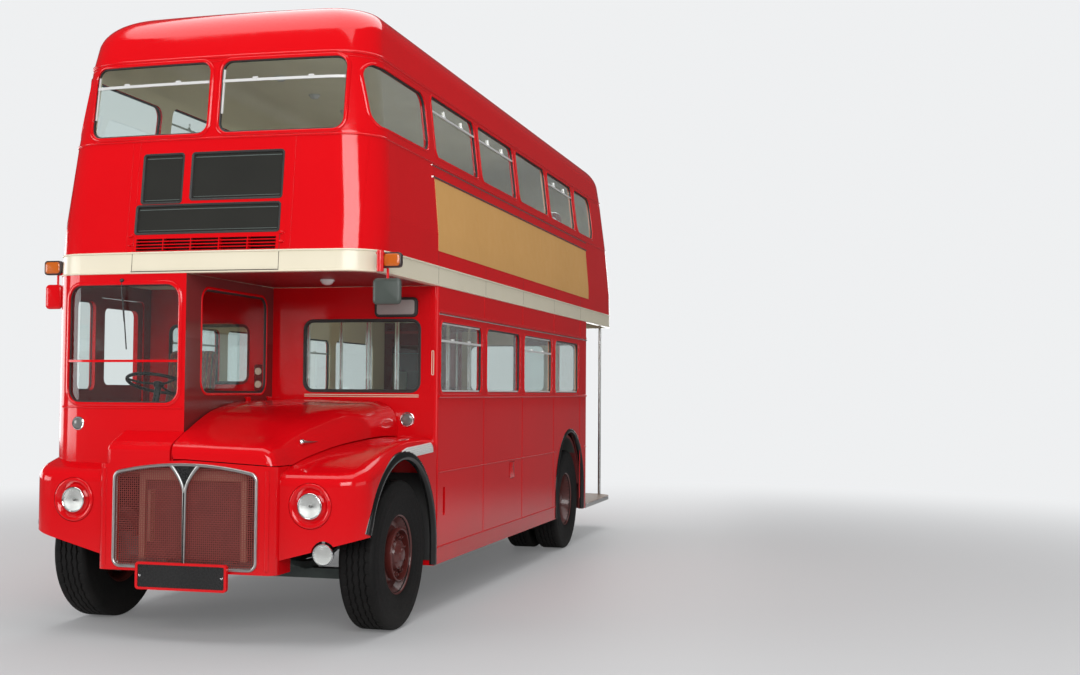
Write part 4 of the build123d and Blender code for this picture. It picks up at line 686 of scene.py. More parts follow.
sheets, rails = [], []
for side in (-1, 1):
    wall = side_wall_place(side)
    edges = np.linspace(*AD_STATIONS, 6)
    for start, end in zip(edges, edges[1:]):
        sheets.append(slab(within(along((start, end)), 0.001), AD_HEIGHTS, -0.001, 0.0032, wall, 1, 12))
    for heights, proud in (((3.250, 3.262), 0.0075), ((3.340, 3.348), 0.0060)):
        rails.append(slab(along((1.500, 6.900)), heights, -0.001, proud, wall))
piece("advertisement_sheets", sheets, BODY, ochre_paper)
piece("advertisement_rails", rails, BODY, polished)

# Coachwork: aluminium panels on a jig-built frame, sprayed gloss red outside and
# lined inside with maroon leathercloth below the windows and cream enamel above them.
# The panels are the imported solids; here they get both finishes.
LINING = (0.135, 0.030, 0.028)
UNDER_WING = (0.02, 0.016, 0.016)


def opened(material):
    """A finish's tree and shader, the outputs of its coordinates, and the socket that colours it now."""
    tree = material.node_tree
    shader = tree.nodes["Principled BSDF"]
    place = next(node for node in tree.nodes if node.type == "TEX_COORD")
    return tree, shader, place.outputs, shader.inputs["Base Color"].links[0].from_socket


def lined(material, low_lining, high_lining, change_z):
    """Adds the inside finish: faces that look towards the bus's own middle line take the lining colours.

    The share is 1 where the face's normal times the place's X and Y is below nought, so
    it follows the mesh alone.
    """
    tree, shader, place, outside = opened(material)
    flat = add_node(tree, "ShaderNodeVectorMath", {0: place["Object"], 1: (1, 0.3, 0)}, operation="MULTIPLY")
    facing = add_node(tree, "ShaderNodeVectorMath", {0: flat.outputs["Vector"], 1: place["Normal"]},
                      operation="DOT_PRODUCT")
    inside = worked_out(tree, "LESS_THAN", facing.outputs["Value"], -0.05)
    parts = add_node(tree, "ShaderNodeSeparateXYZ", {"Vector": place["Object"]})
    above = worked_out(tree, "GREATER_THAN", parts.outputs["Z"], change_z)
    lining = colour_mix(tree, above, (*low_lining, 1), (*high_lining, 1))
    tree.links.new(colour_mix(tree, inside, outside, lining), shader.inputs["Base Color"])
    return material


# The lower side red takes painted shade: a patchy brown darkening that grows towards the bottom of the
# panels.
lower_red = lined(coach_red("lower_side_red", ((0.16, 0.05, 0.04), 0.75, 0.1)), LINING, CEILING_CREAM, 1.62)
upper_red = lined(coach_red("upper_side_red"), LINING, CEILING_CREAM, 3.40)
cab_red = lined(coach_red("cab_red"), (0.15, 0.02, 0.02), (0.17, 0.03, 0.03), 2.0)
wing_red = lined(coach_red("wing_red"), UNDER_WING, UNDER_WING, 2.0)
shade_red = drifting("shade_red", SHADOW_RED, (0.12, 0.004, 0.007), (0.22, 0.36), 2, 40, 0.0003)
dress(lower_red, "near_lower_side", "off_lower_side", "rear_lower_wall")
dress(upper_red, "upper_front", "upper_sides", "upper_rear")
dress(cab_red, "cab_shell", "cab_door")
dress(gloss_red, "nose_cowl", "emergency_window", "front_bulkhead")
dress(wing_red, "front_wings")
dress(shade_red, "rear_bulkhead")
black_gloss = drifting("black_enamel", (0.012, 0.012, 0.012), (0.02, 0.02, 0.02), (0.2, 0.35), 5, 90, 0.0001)
dress(black_gloss, "number_plates")
dress(polished, "grab_poles")

# Glass: safety glass bedded in the window openings, faintly green at its thickness.
# Shadow rays pass straight through, so that daylight reaches the saloons as it does through real panes.


def pane_glass(name, tint):
    """Clear glass that bends and mirrors what is seen, and lets the lamps' light through."""
    material, tree, shader = bare_finish(name, {"Base Color": (*tint, 1), "Transmission Weight": 1,
                                                "Roughness": 0.01, "IOR": 1.45})
    clear = add_node(tree, "ShaderNodeBsdfTransparent", {"Color": (*[0.5 + c / 2 for c in tint], 1)})
    ray = add_node(tree, "ShaderNodeLightPath", {})
    mix = either(tree, ray.outputs["Is Shadow Ray"], shader.outputs["BSDF"], clear.outputs["BSDF"])
    tree.links.new(mix, tree.nodes["Material Output"].inputs["Surface"])
    return material


window_glass = pane_glass("window_glass", (0.80, 0.86, 0.85))
dress(window_glass, "glazing", "emergency_glass")

# Window surrounds: every pane is bedded in black rubber, inside a pressed pan that is
# painted with the body. Some windows have a sliding top light, which is a bright
# rail, a bright guide down each edge and two thumb catches.
BAY = 1.219
PANE_FACE = -0.0158
UPPER_WINDOWS = [((1.637 + BAY * bay, 2.752 + BAY * bay), (3.430, 3.904), 0.060) for bay in range(4)]
UPPER_WINDOWS.append(((6.513, 7.380), (3.430, 3.904), 0.120))
QUARTER_WINDOW = ((0.440, 1.490), (3.440, 3.870), 0.095)
LOWER_WINDOWS = [((1.615 + BAY * bay, 2.684 + BAY * bay), (1.640, 2.172), 0.062) for bay in range(4)]
FRONT_WINDOWS = [((0.042, 0.948), (3.404, 3.912), 0.075), ((-0.948, -0.042), (3.404, 3.912), 0.075)]
# Profiles as pairs: how far the outline is grown, and how far it stands out of the wall
PAN = [(-0.0005, -0.0060), (-0.0005, 0.0026), (0.0030, 0.0052), (0.0120, 0.0052), (0.0175, 0.0020),
       (0.0175, -0.0010)]
DEEP_PAN = [(-0.0005, -0.0080), (-0.0005, 0.0060), (0.0040, 0.0100), (0.0180, 0.0095), (0.0260, 0.0030),
            (0.0260, -0.0010)]
RUBBER = [(0.0, -0.0155), (-0.0090, -0.0155), (-0.0100, -0.0130), (-0.0080, -0.0090), (-0.0004, -0.0070)]
INNER_RUBBER = [(0.0, -0.0225), (-0.0120, -0.0225), (-0.0100, -0.0280), (0.0, -0.0310)]


def rounded_path(a_span, b_span, radius, grow):
    """Points round a rounded rectangle: at each corner an arc of the radius plus grow,
    and points along each run."""
    (a0, a1), (b0, b1) = a_span, b_span
    reach = max(radius + grow, 0.0005)
    turn = np.radians(np.linspace(0, 90, 9))
    corners = ((a1 - radius, b1 - radius), (a0 + radius, b1 - radius), (a0 + radius, b0 + radius),
               (a1 - radius, b0 + radius))
    arcs = [np.stack([a + reach * np.cos(turn + quarter * math.pi / 2),
                      b + reach * np.sin(turn + quarter * math.pi / 2)], -1)
            for quarter, (a, b) in enumerate(corners)]
    path = []
    for arc, following in zip(arcs, arcs[1:] + arcs[:1]):
        path += [arc, arc[-1] + (following[0] - arc[-1]) * np.linspace(0, 1, 7)[1:-1, None]]
    return np.concatenate(path)


def outlines_on(a_span, b_span, radius, profile, place):
    """The rounded outline on a wall, grown and stood out by each pair of the profile."""
    rings = []
    for grow, out in profile:
        path = rounded_path(a_span, b_span, radius, grow)
        rings.append(place(path[:, 0], path[:, 1], np.full(len(path), out)))
    return rings


def edging(a_span, b_span, radius, profile, place):
    """A closed profile of (grow, stand out) pairs carried round a rounded opening in a wall."""
    points = np.stack(outlines_on(a_span, b_span, radius, profile, place), 1)
    return points, ring_faces(*points.shape[:2])


def tray(a_span, b_span, radius, profile, place):
    """A closed rounded plate or box: rings of (grow, stand out) pairs, with a face
    across the first and the last."""
    points = np.stack(outlines_on(a_span, b_span, radius, profile, place))
    return points, capped_faces(*points.shape[:2])


def flat_front(station):
    """Places (x, height, stand out) on a flat face that looks forward."""
    def place(x, z, out):
        return np.stack([x, NOSE_Y + station - out, z], -1)
    return place


def flat_side(face_x, way):
    """Places (distance along Y, height, stand out) on a flat upright face that looks along X."""
    def place(y, z, out):
        return np.stack([face_x + way * out, y, z], -1)
    return place


def rear_place(x, z, out):
    """Places (x, height, stand out) on the bowed rear."""
    half, _, rear = level_at(z)
    big = (half ** 2 + REAR_BOW ** 2) / (2 * REAR_BOW)
    return np.stack([x, NOSE_Y + rear - big + np.sqrt(big ** 2 - x ** 2) + out, z], -1)


black_rubber = drifting("glazing_rubber", (0.018, 0.018, 0.018), (0.03, 0.03, 0.029), (0.45, 0.65),
                        8, 70, 0.0002)
pans, seals, guides = [], [], []
for side in (-1, 1):
    wall = side_wall_place(side)
    for span, heights, radius in UPPER_WINDOWS + LOWER_WINDOWS + [QUARTER_WINDOW]:
        pans.append(edging(along(span), heights, radius, PAN, wall))
        seals += [edging(along(span), heights, radius, rubber, wall) for rubber in (RUBBER, INNER_RUBBER)]
    for number in (0, 1, 3):
        start, end = along(UPPER_WINDOWS[number][0])
        guides.append(slab(within((start, end), 0.002), (3.780, 3.794), PANE_FACE, -0.0050, wall))
        guides.append(slab((start + 0.012, start + 0.022), (3.500, 3.890), PANE_FACE, -0.0080, wall))
        for share in (0.3, 0.7):
            y = start + (end - start) * share
            guides.append(slab(around(y, 0.018), (3.794, 3.806), PANE_FACE, -0.0010, wall))
            guides.append(slab(around(y, 0.004), (3.806, 3.842), PANE_FACE, -0.0040, wall))
    for window in LOWER_WINDOWS:
        guides.append(slab(within(along(window[0]), 0.050), (1.6450, 1.6560), PANE_FACE, -0.0055, wall))
    for number in (0, 2):
        start, end = along(LOWER_WINDOWS[number][0])
        guides.append(slab(within((start, end), 0.002), (2.022, 2.038), PANE_FACE, -0.0050, wall))
        guides.append(slab(within((start, end), 0.050), (2.1560, 2.1660), PANE_FACE, -0.0055, wall))
        for share in (0.3, 0.7):
            y = start + (end - start) * share
            guides.append(slab(around(y, 0.016), (2.038, 2.050), PANE_FACE, -0.0010, wall))
for span, heights, radius in FRONT_WINDOWS:
    pans.append(edging(span, heights, radius, DEEP_PAN, front_place))
    seals += [edging(span, heights, radius, rubber, front_place) for rubber in (RUBBER, INNER_RUBBER)]
    guides.append(slab(within(span, 0.010), (3.760, 3.779), PANE_FACE, -0.0030, front_place, 8))
    guides.append(slab((span[0] + 0.011, span[0] + 0.023), (3.540, 3.850), PANE_FACE, -0.0060,
                       front_place, 1, 4))
    for x in within(span, 0.25):
        guides.append(slab(around(x, 0.018), (3.778, 3.790), PANE_FACE, -0.0010, front_place))
WINDSCREEN = ((-1.036, -0.174), (1.557, 2.362), 0.095)
CAB_SIDE_WINDOW = (along((0.420, 1.420)), (1.625, 2.350), 0.090)
QUARTER_LIGHT = (along((0.540, 0.770)), (1.640, 2.290), 0.050)
SALOON_FRONT_WINDOW = ((0.145, 1.077), (1.644, 2.182), 0.070)
CAB_REAR_WINDOW = ((-1.000, -0.330), (1.700, 2.150), 0.060)
REAR_WINDOW = ((-0.640, 0.330), (1.640, 2.230), 0.090)
WIDE_RUBBER = [(0.0, -0.0155), (-0.014, -0.0155), (-0.015, -0.0120), (-0.009, 0.0010), (0.003, 0.0030),
               (0.010, 0.0015), (0.011, -0.0010)]
CAB_RUBBER = [(0.0, -0.0115), (-0.016, -0.0115), (-0.014, -0.0060), (0.0, 0.0010), (0.009, 0.0014),
              (0.010, -0.001)]
cab_wall, bulkhead_wall, off_wall = flat_side(-0.120, 1), flat_front(1.540), side_wall_place(-1)
for window, profile, face in ((WINDSCREEN, DEEP_PAN, front_place), (CAB_SIDE_WINDOW, PAN, cab_wall),
                              (QUARTER_LIGHT, PAN, off_wall), (REAR_WINDOW, PAN, rear_place)):
    pans.append(edging(*window, profile, face))
for window, profile, face in ((WINDSCREEN, RUBBER, front_place), (CAB_SIDE_WINDOW, CAB_RUBBER, cab_wall),
                              (QUARTER_LIGHT, RUBBER, off_wall), (REAR_WINDOW, RUBBER, rear_place),
                              (SALOON_FRONT_WINDOW, WIDE_RUBBER, bulkhead_wall),
                              (CAB_REAR_WINDOW, WIDE_RUBBER, bulkhead_wall)):
    seals.append(edging(*window, profile, face))
piece("window_pans", pans, BODY, gloss_red, sharp=50)
piece("window_rubbers", seals, BODY, black_rubber, sharp=50)
bright_alloy = drifting("bright_alloy", (0.84, 0.84, 0.82), (0.74, 0.74, 0.72), (0.26, 0.40), 8, 90, 0.0001,
                        metallic=0.35)
piece("window_rails", guides, BODY, bright_alloy)
piece("windscreen_bar", [slab((-1.052, -0.158), (1.833, 1.849), PANE_FACE, 0.0070, front_place, 12)], BODY,
      gloss_red)

# Side mouldings: half-round beads over the joints of the lower panels, and the drip rail over the lower
# windows. They are pinned on and painted, apart from the bright drip rail.


def bead(a_span, z, high, proud, place, steps=1):
    """A half-round bead along a wall: its section is the sine of a half turn upwards
    and the cosine outwards."""
    a = np.linspace(*a_span, steps + 1)
    turn = np.radians(np.linspace(-90, 90, 9))
    z_row = np.concatenate([z + high / 2 * np.sin(turn), [z]])
    out_row = np.concatenate([proud * np.cos(turn), [-0.002]])
    count = len(z_row)
    points = place(np.repeat(a, count), np.tile(z_row, len(a)), np.tile(out_row, len(a)))
    return points, capped_faces(len(a), count)


def upright(place):
    """The same wall with the two distances along it changed over, for beads that run up it."""
    return lambda z, a, out: place(a, z, out)


SALOON_START = 1.575
SKIRT_Z, MIDDLE_Z, SILL_Z, DRIP_Z = 0.485, 1.045, 1.608, 2.229
painted, bright = [], []
for side in (-1, 1):
    wall = side_wall_place(side)
    rear_end = 6.748 if side == 1 else 8.050
    painted.append(bead(along((SALOON_START, 5.340)), MIDDLE_Z, 0.013, 0.0065, wall))
    painted.append(bead(along((6.615, rear_end)), MIDDLE_Z, 0.013, 0.0065, wall))
    painted.append(bead(along((SALOON_START, 5.330)), SKIRT_Z, 0.013, 0.0065, wall))
    painted.append(bead(along((SALOON_START, rear_end)), SILL_Z, 0.022, 0.0100, wall))
    bright.append(bead(along((SALOON_START, rear_end)), DRIP_Z, 0.014, 0.0120, wall))
    painted.append(bead(along((SALOON_START, rear_end)), 2.252, 0.020, 0.0060, wall))
    painted.append(bead((0.430, 1.150), NOSE_Y + SALOON_START - 0.018, 0.026, 0.0060, upright(wall)))
    painted.append(bead((0.480, 1.125), side * 0.590, 0.030, 0.0090, upright(flat_front(0.0)), 6))
painted.append(bead((-1.100, -0.135), 1.524, 0.016, 0.0075, front_place, 18))
painted.append(bead((-0.86, 0.86), MIDDLE_Z, 0.013, 0.0065, rear_place, 16))
painted.append(bead((-0.86, 0.52), SILL_Z, 0.020, 0.0080, rear_place, 16))
piece("side_beads", painted, BODY, gloss_red, sharp=60)
piece("drip_rail", bright, BODY, polished, sharp=60)

# Destination displays: linen blinds rolled behind glass, each opening edged with black rubber. They are
# blank. Below them a louvred intake feeds the upper deck's heater; the near-black sheet set behind it is
# painted shadow for the dark inside of the intake.
DISPLAYS = (((-0.504, -0.200), (2.925, 3.266)), ((-0.131, 0.540), (2.942, 3.266)),
            ((-0.535, 0.535), (2.713, 2.907)))
DISPLAY_EDGE = [(0.0, -0.0138), (-0.008, -0.0138), (-0.0095, -0.0100), (-0.007, -0.0020), (-0.0004, 0.0018),
                (0.0070, 0.0030), (0.0085, -0.0010)]
blind_linen = drifting("blind_linen", (0.030, 0.030, 0.026), (0.020, 0.020, 0.018), (0.10, 0.22), 2.2, 140,
                       0.0001, coat=0.8)
dress(blind_linen, "display_boxes")
edges = [edging(*spans, 0.018, DISPLAY_EDGE, front_place) for spans in DISPLAYS]
piece("display_edges", edges, BODY, black_rubber, sharp=50)
rollers = []
for span, (low, high) in DISPLAYS:
    for heights in ((high - 0.030, high - 0.024), (low + 0.020, low + 0.024)):
        rollers.append(slab(within(span, 0.018), heights, -0.0142, -0.0128, front_place, 6))
piece("display_bars", rollers, BODY, chassis_paint)
# Painted shadow: a near-black sheet behind the intake stands for the dark inside of it.
vent_shadow_paint = drifting("vent_shadow", (0.016, 0.010, 0.010), (0.008, 0.006, 0.006), (0.6, 0.8), 8, 60)
piece("vent_shadow_sheet", [slab((-0.526, 0.526), (2.588, 2.682), -0.075, -0.049, front_place, 12, 1)], BODY,
      vent_shadow_paint)
studs = []
for side in (-1, 1):
    for z in (2.700, 2.640):
        studs.append(tray(around(side * 0.560, 0.016), around(z, 0.010), 0.0090,
                          [(0, -0.001), (0, 0.010), (-0.003, 0.014)], front_place))
piece("lift_panel_studs", studs, BODY, gloss_red, sharp=50)

# Grille: a satin alloy frame and a V whose two arms sweep down into the centre bar, in front of woven wire
# mesh. The mesh is painted maroon; a plain dark plate fills the V where such a bus carries its badge.
GRILLE_HALF, GRILLE_LOW, GRILLE_SIDE_TOP, GRILLE_TOP, GRILLE_CORNER = 0.526, 0.470, 1.105, 1.165, 0.062
MESH_PITCH = 0.0146
WIRE = 0.0016
WIRE_SWAY = 0.0021
MESH_SET_BACK = 0.0085
V_TOP, V_FOOT, V_REACH = 1.150, 0.977, 0.094


def grille_path(inset):
    """The grille's outline: upright sides, an arc on top, and corner arcs that touch what they join.

    A top corner's circle lies inside the big one, so its centre is their radii's
    difference from the big centre.
    """
    w, low, corner = GRILLE_HALF - inset, GRILLE_LOW + inset, GRILLE_CORNER - inset
    rise = GRILLE_TOP - GRILLE_SIDE_TOP
    big = (w * w + rise * rise) / (2 * rise)
    centre_z = GRILLE_TOP - inset - big
    corner_z = centre_z + math.sqrt((big - corner) ** 2 - (w - corner) ** 2)
    lean = math.atan2(corner_z - centre_z, w - corner)
    foot = np.radians(np.linspace(-90, 0, 9))
    head = np.linspace(0, lean, 9)
    arc = np.linspace(lean, math.pi / 2, 16)[1:]
    x = np.concatenate([[0], w - corner + corner * np.cos(foot), w - corner + corner * np.cos(head),
                        big * np.cos(arc)])
    z = np.concatenate([[low], low + corner + corner * np.sin(foot), corner_z + corner * np.sin(head),
                        centre_z + big * np.sin(arc)])
    x[-1] = 0
    return np.concatenate([x, -x[-2:0:-1]]), np.concatenate([z, z[-2:0:-1]])


def strip(path, widths, profile, place):
    """A closed profile of (share of the width across, stand out) pairs carried along an
    open path of (a, b) points."""
    path = np.asarray(path, float)
    run = np.gradient(path, axis=0)
    run /= np.linalg.norm(run, axis=1)[:, None]
    across = np.stack([-run[:, 1], run[:, 0]], -1)
    share, out = np.array(profile, float).T
    reach = share[None, :, None] * np.broadcast_to(widths, len(path))[:, None, None]
    at = path[:, None, :] + across[:, None, :] * reach
    points = place(at[..., 0].ravel(), at[..., 1].ravel(), np.tile(out, len(path)))
    return points, capped_faces(len(path), len(share))


def woven_wires():
    """Wires of the mesh: each runs straight, and sways by the sine of the other way's
    pitch, one over, one under.

    Uprights reach the frame's outline above, and level wires reach it at both sides, where it is narrowed.
    """
    edge_x, edge_z = grille_path(0.012)
    half = len(edge_x) // 2 + 1
    side_x, side_z = edge_x[1:half], edge_z[1:half]
    below = side_z < 0.8
    u, v = (np.array([(-1, -1), (1, -1), (1, 1), (-1, 1)]) * WIRE).T
    parts = []

    def wire(middle, ring):
        parts.append((middle[:, None] + ring[None], grid_faces(len(middle), 4, closed_columns=True)))

    last_column = int(0.512 / MESH_PITCH)
    for number in range(-last_column, last_column + 1):
        x = number * MESH_PITCH
        top = np.interp(abs(x), side_x[~below][::-1], side_z[~below][::-1])
        low = np.interp(abs(x), side_x[below], side_z[below])
        z = np.arange(low, top, MESH_PITCH / 2)
        sway = WIRE_SWAY * np.sin(math.pi * (z - GRILLE_LOW) / MESH_PITCH + number * math.pi)
        wire(np.stack([np.full(len(z), x), NOSE_Y + MESH_SET_BACK + sway, z], -1),
             np.stack([u, v, 0 * u], -1))
    for number in range(1, int((GRILLE_TOP - GRILLE_LOW - 0.014) / MESH_PITCH)):
        z = GRILLE_LOW + number * MESH_PITCH
        reach = np.interp(z, side_z, side_x)
        x = np.arange(-reach, reach, MESH_PITCH / 2)
        sway = -WIRE_SWAY * np.sin(math.pi * x / MESH_PITCH + number * math.pi + math.pi / 2)
        wire(np.stack([x, NOSE_Y + MESH_SET_BACK + sway, np.full(len(x), z)], -1),
             np.stack([0 * u, u, v], -1))
    return parts


satin_alloy = drifting("satin_alloy", (0.62, 0.62, 0.61), (0.50, 0.50, 0.49), (0.26, 0.40), 12, 80,
                       0.0001, metallic=1.0)
mesh_maroon = drifting("mesh_maroon", (0.30, 0.050, 0.040), (0.20, 0.032, 0.026), (0.35, 0.55), 9, 90)
nose_face = flat_front(0.0)
frame_rings = []
for inset, out in ((0.0003, -0.024), (0.0003, 0.007), (0.003, 0.0115), (0.008, 0.0138), (0.012, 0.0138),
                   (0.017, 0.0115), (0.020, 0.007), (0.020, -0.012), (0.024, -0.012), (0.024, -0.024)):
    x, z = grille_path(inset)
    frame_rings.append(nose_face(x, z, np.full(len(x), out)))
frame_points = np.stack(frame_rings, 1)
grille_parts = [(frame_points, ring_faces(*frame_points.shape[:2]))]
drop = np.linspace(0, 1, 22)
arm_x = 0.007 + V_REACH * (1 - drop) ** 1.7
arm_z = V_TOP + (V_FOOT - V_TOP) * drop
ROUND_BAR = [(-1, -0.002), (-1, 0.006), (-0.75, 0.0105), (-0.3, 0.0128), (0.3, 0.0128), (0.75, 0.0105),
             (1, 0.006), (1, -0.002)]
for side in (-1, 1):
    grille_parts.append(strip(np.stack([side * arm_x, arm_z], -1), 0.0125 - 0.004 * drop,
                              ROUND_BAR, nose_face))
grille_parts.append(strip(np.stack([np.zeros(6), np.linspace(V_FOOT + 0.006, GRILLE_LOW + 0.016, 6)], -1),
                          np.linspace(0.0150, 0.0100, 6), ROUND_BAR, nose_face))
frame_piece = piece("grille_frame", grille_parts, BODY, satin_alloy, sharp=50)
piece("grille_mesh", woven_wires(), BODY, mesh_maroon, sharp=60)
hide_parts("grille")
plate_x, plate_z = np.concatenate([arm_x, -arm_x[::-1]]), np.concatenate([arm_z, arm_z[::-1]])
plate_points = np.concatenate([nose_face(plate_x, plate_z, np.full(len(plate_x), out))
                               for out in (-0.002, 0.004)])
piece("v_plate", [(plate_points, folded_faces(2, len(plate_x))),
                  slab((-0.0048, 0.0048), (GRILLE_LOW + 0.024, V_FOOT - 0.004), 0.010, 0.0139, nose_face)],
      BODY, black_gloss)

# Lamps: spun chrome rims on the wings, with a domed lens in front of a silvered bowl; the fog lamp's lens
# is fluted. Small lamps have a chrome ring and a moulded lens, and are screwed to the panel behind them.


def spun(profile, x, y, z, way=-1, turns=64, flutes=0, flute_depth=0.0):
    """A closed profile of (distance forward, radius) turned about Y; flutes press the
    radius's share in, by cosine."""
    d, r = np.array(profile, float).T
    angle = full_turn(turns)[:, None]
    press = flute_depth * np.cos(flutes * angle) * (r / r.max())[None, :] if flutes else 0 * angle
    points = np.stack(np.broadcast_arrays(x + r[None, :] * np.sin(angle), y + way * (d[None, :] + press),
                                          z + r[None, :] * np.cos(angle)), -1)
    return points, ring_faces(turns, len(d))


def bar(x, y, z):
    """A rectangular bar from its spans."""
    points = [(x[i], y[j], z[k]) for i in (0, 1) for j in (0, 1) for k in (0, 1)]
    return points, [(0, 1, 3, 2), (4, 6, 7, 5), (0, 4, 5, 1), (2, 3, 7, 6), (0, 2, 6, 4), (1, 5, 7, 3)]


chrome = drifting("chrome_plate", (0.86, 0.87, 0.88), (0.78, 0.79, 0.80), (0.05, 0.12), 10, 60, metallic=1.0)
silvered = drifting("silvered_bowl", (0.90, 0.90, 0.88), (0.80, 0.80, 0.79), (0.24, 0.36), 20,
                    60, metallic=1.0)
lamp_glass = pane_glass("lamp_lens", (0.95, 0.96, 0.95))
opal = drifting("opal_lens", (0.62, 0.62, 0.60), (0.52, 0.53, 0.52), (0.12, 0.22), 20, 90, 0.0006, coat=0.6)
red_lens = drifting("red_lens", (0.42, 0.010, 0.010), (0.30, 0.006, 0.006), (0.08, 0.18), 20, 90,
                    0.0006, coat=0.8)
amber_lens = drifting("amber_lens", (0.58, 0.13, 0.010), (0.44, 0.085, 0.008), (0.12, 0.22), 20, 120,
                      0.0006, coat=0.8)
HEADLAMP_X, HEADLAMP_Z = 0.861, 0.901
RIM = [(0.0, 0.0875), (0.012, 0.0880), (0.025, 0.0868), (0.031, 0.0835), (0.0325, 0.0800), (0.0300, 0.0770),
       (0.0180, 0.0755), (0.0, 0.0755)]
BOWL = [(0.0185, 0.0752), (0.0140, 0.0640), (0.0090, 0.0500), (0.0050, 0.0330), (0.0030, 0.0150),
        (0.0030, 0.0), (0.0005, 0.0), (0.0005, 0.0752)]
BULB = [(0.0030, 0.0), (0.0030, 0.010), (0.0120, 0.0115), (0.0180, 0.0090), (0.0205, 0.0050), (0.0210, 0.0)]
LENS = [(0.0270, 0.0768), (0.0310, 0.0640), (0.0345, 0.0450), (0.0365, 0.0230), (0.0375, 0.0), (0.0350, 0.0),
        (0.0340, 0.0230), (0.0320, 0.0450), (0.0285, 0.0640), (0.0240, 0.0768)]
rims, bowls, lenses, opals = [], [], [], []
for side in (-1, 1):
    place = (side * HEADLAMP_X, NOSE_Y + 0.0778, HEADLAMP_Z)
    rims.append(spun(RIM, *place, turns=96))
    bowls.append(spun(BOWL, *place, turns=64))
    opals.append(spun(BULB, *place, turns=32))
    lenses.append(spun(LENS, *place, turns=96, flutes=24, flute_depth=0.0004))
fog = (0.956, NOSE_Y + 0.132, 0.593)
rims.append(spun([(0.002, 0.0), (0.002, 0.024), (0.014, 0.046), (0.034, 0.062), (0.056, 0.0695),
                  (0.066, 0.0718), (0.076, 0.0716), (0.082, 0.0680), (0.0815, 0.0645), (0.074, 0.0625),
                  (0.066, 0.0622), (0.066, 0.0)], *fog, turns=96))
rims.append(bar((0.945, 0.967), along((0.066, 0.084)), (0.655, 0.6775)))
bowls.append(spun([(0.0715, 0.0618), (0.069, 0.040), (0.068, 0.0), (0.0665, 0.0), (0.0665, 0.0618)], *fog))
lenses.append(spun([(0.0755, 0.0622), (0.0800, 0.0480), (0.0830, 0.0280), (0.0845, 0.0), (0.0815, 0.0),
                    (0.0800, 0.0280), (0.0770, 0.0480), (0.0725, 0.0622)], *fog, turns=144, flutes=36,
                   flute_depth=0.0012))
SMALL_RING = [(-0.014, 0.044), (0.006, 0.044), (0.0100, 0.0425), (0.0120, 0.0385), (0.0105, 0.0345),
              (-0.014, 0.033)]
SMALL_LENS = [(-0.014, 0.0338), (0.0075, 0.0338), (0.0120, 0.0270), (0.0150, 0.0160), (0.0160, 0.0),
              (-0.014, 0.0)]
for x, station, z, larger in ((-0.940, 0.2232, 1.412, 1.08), (0.986, 1.5400, 1.435, 1.30)):
    for parts, profile in ((rims, SMALL_RING), (opals, SMALL_LENS)):
        parts.append(spun([(forward, radius * larger) for forward, radius in profile], x,
                          NOSE_Y + station, z))
rear_lamp = (-0.700, NOSE_Y + 8.372, 1.100)
rims.append(spun([(-0.060, 0.045), (0.010, 0.045), (0.020, 0.043), (0.022, 0.039), (0.020, 0.035),
                  (-0.060, 0.034)], *rear_lamp, way=1))
LAMP_RING = [(0.0005, 0.1470), (0.0160, 0.1470), (0.0225, 0.1430), (0.0245, 0.1350), (0.0220, 0.1260),
             (0.0130, 0.1160), (0.0050, 0.1080), (0.0005, 0.1020)]
piece("headlamp_surrounds", [spun(LAMP_RING, side * HEADLAMP_X, NOSE_Y + 0.078, HEADLAMP_Z, turns=96)
                             for side in (-1, 1)], BODY, gloss_red, sharp=50)
piece("lamp_rims", rims, BODY, chrome, sharp=40)
piece("lamp_bowls", bowls, BODY, silvered, sharp=50)
shaded_lens = drifting("shaded_lens", (0.17, 0.17, 0.165), (0.11, 0.11, 0.105), (0.08, 0.16), 20, 120,
                       0.0003, coat=0.8)
piece("small_lenses", opals, BODY, shaded_lens, sharp=50)
lens_piece = piece("lamp_lenses", lenses, BODY, lamp_glass, sharp=50)
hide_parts("lamps")
piece("rear_lamp_lens",
      [spun([(-0.020, 0.0345), (0.018, 0.0345), (0.030, 0.026), (0.036, 0.014), (0.038, 0.0),
             (-0.020, 0.0)], *rear_lamp, way=1)], BODY, red_lens, sharp=50)

# Wing trims: rubber lips round the wheel arches, and a polished ribbed plate where the driver and
# fitters step. The lips are drawn over the panel edges; the plate is riveted on the kerb side's wing.
WING_CORNER, WING_CREST, WING_FRONT = 0.190, 0.095, 0.062
WING_LINE = np.array([(0.062, 1.092), (0.620, 1.246), (1.540, 1.302)])


def wing_top(station):
    """Height of the wing's crest: the circle through its three points, found from equal distances."""
    a, b = 2 * (WING_LINE[1:] - WING_LINE[0]), (WING_LINE[1:] ** 2).sum(1) - (WING_LINE[0] ** 2).sum()
    centre = np.linalg.solve(a, b)
    radius = np.linalg.norm(WING_LINE[0] - centre)
    return centre[1] + np.sqrt(radius ** 2 - (station - centre[0]) ** 2)


def wing_place(side):
    """Places (station, height, stand out) on a wing's outer face, drawn in at the front
    corner and over the crest."""
    def place(station, z, out):
        ahead = np.clip(WING_FRONT + WING_CORNER - station, 0, WING_CORNER)
        over = np.clip(z - wing_top(station) + WING_CREST, 0, WING_CREST)
        corner_reach = np.sqrt(WING_CORNER ** 2 - ahead ** 2)
        crest_reach = np.sqrt(WING_CREST ** 2 - over ** 2)
        drawn = WING_CORNER - corner_reach + WING_CREST - crest_reach
        return np.stack([side * (HALF_WIDTH - drawn + out), NOSE_Y + station, z], -1)
    return place


def station_side(side):
    """Places (station, height, stand out) on a straight lower side."""
    return lambda station, z, out: np.stack([side * (HALF_WIDTH + out), NOSE_Y + station, z], -1)


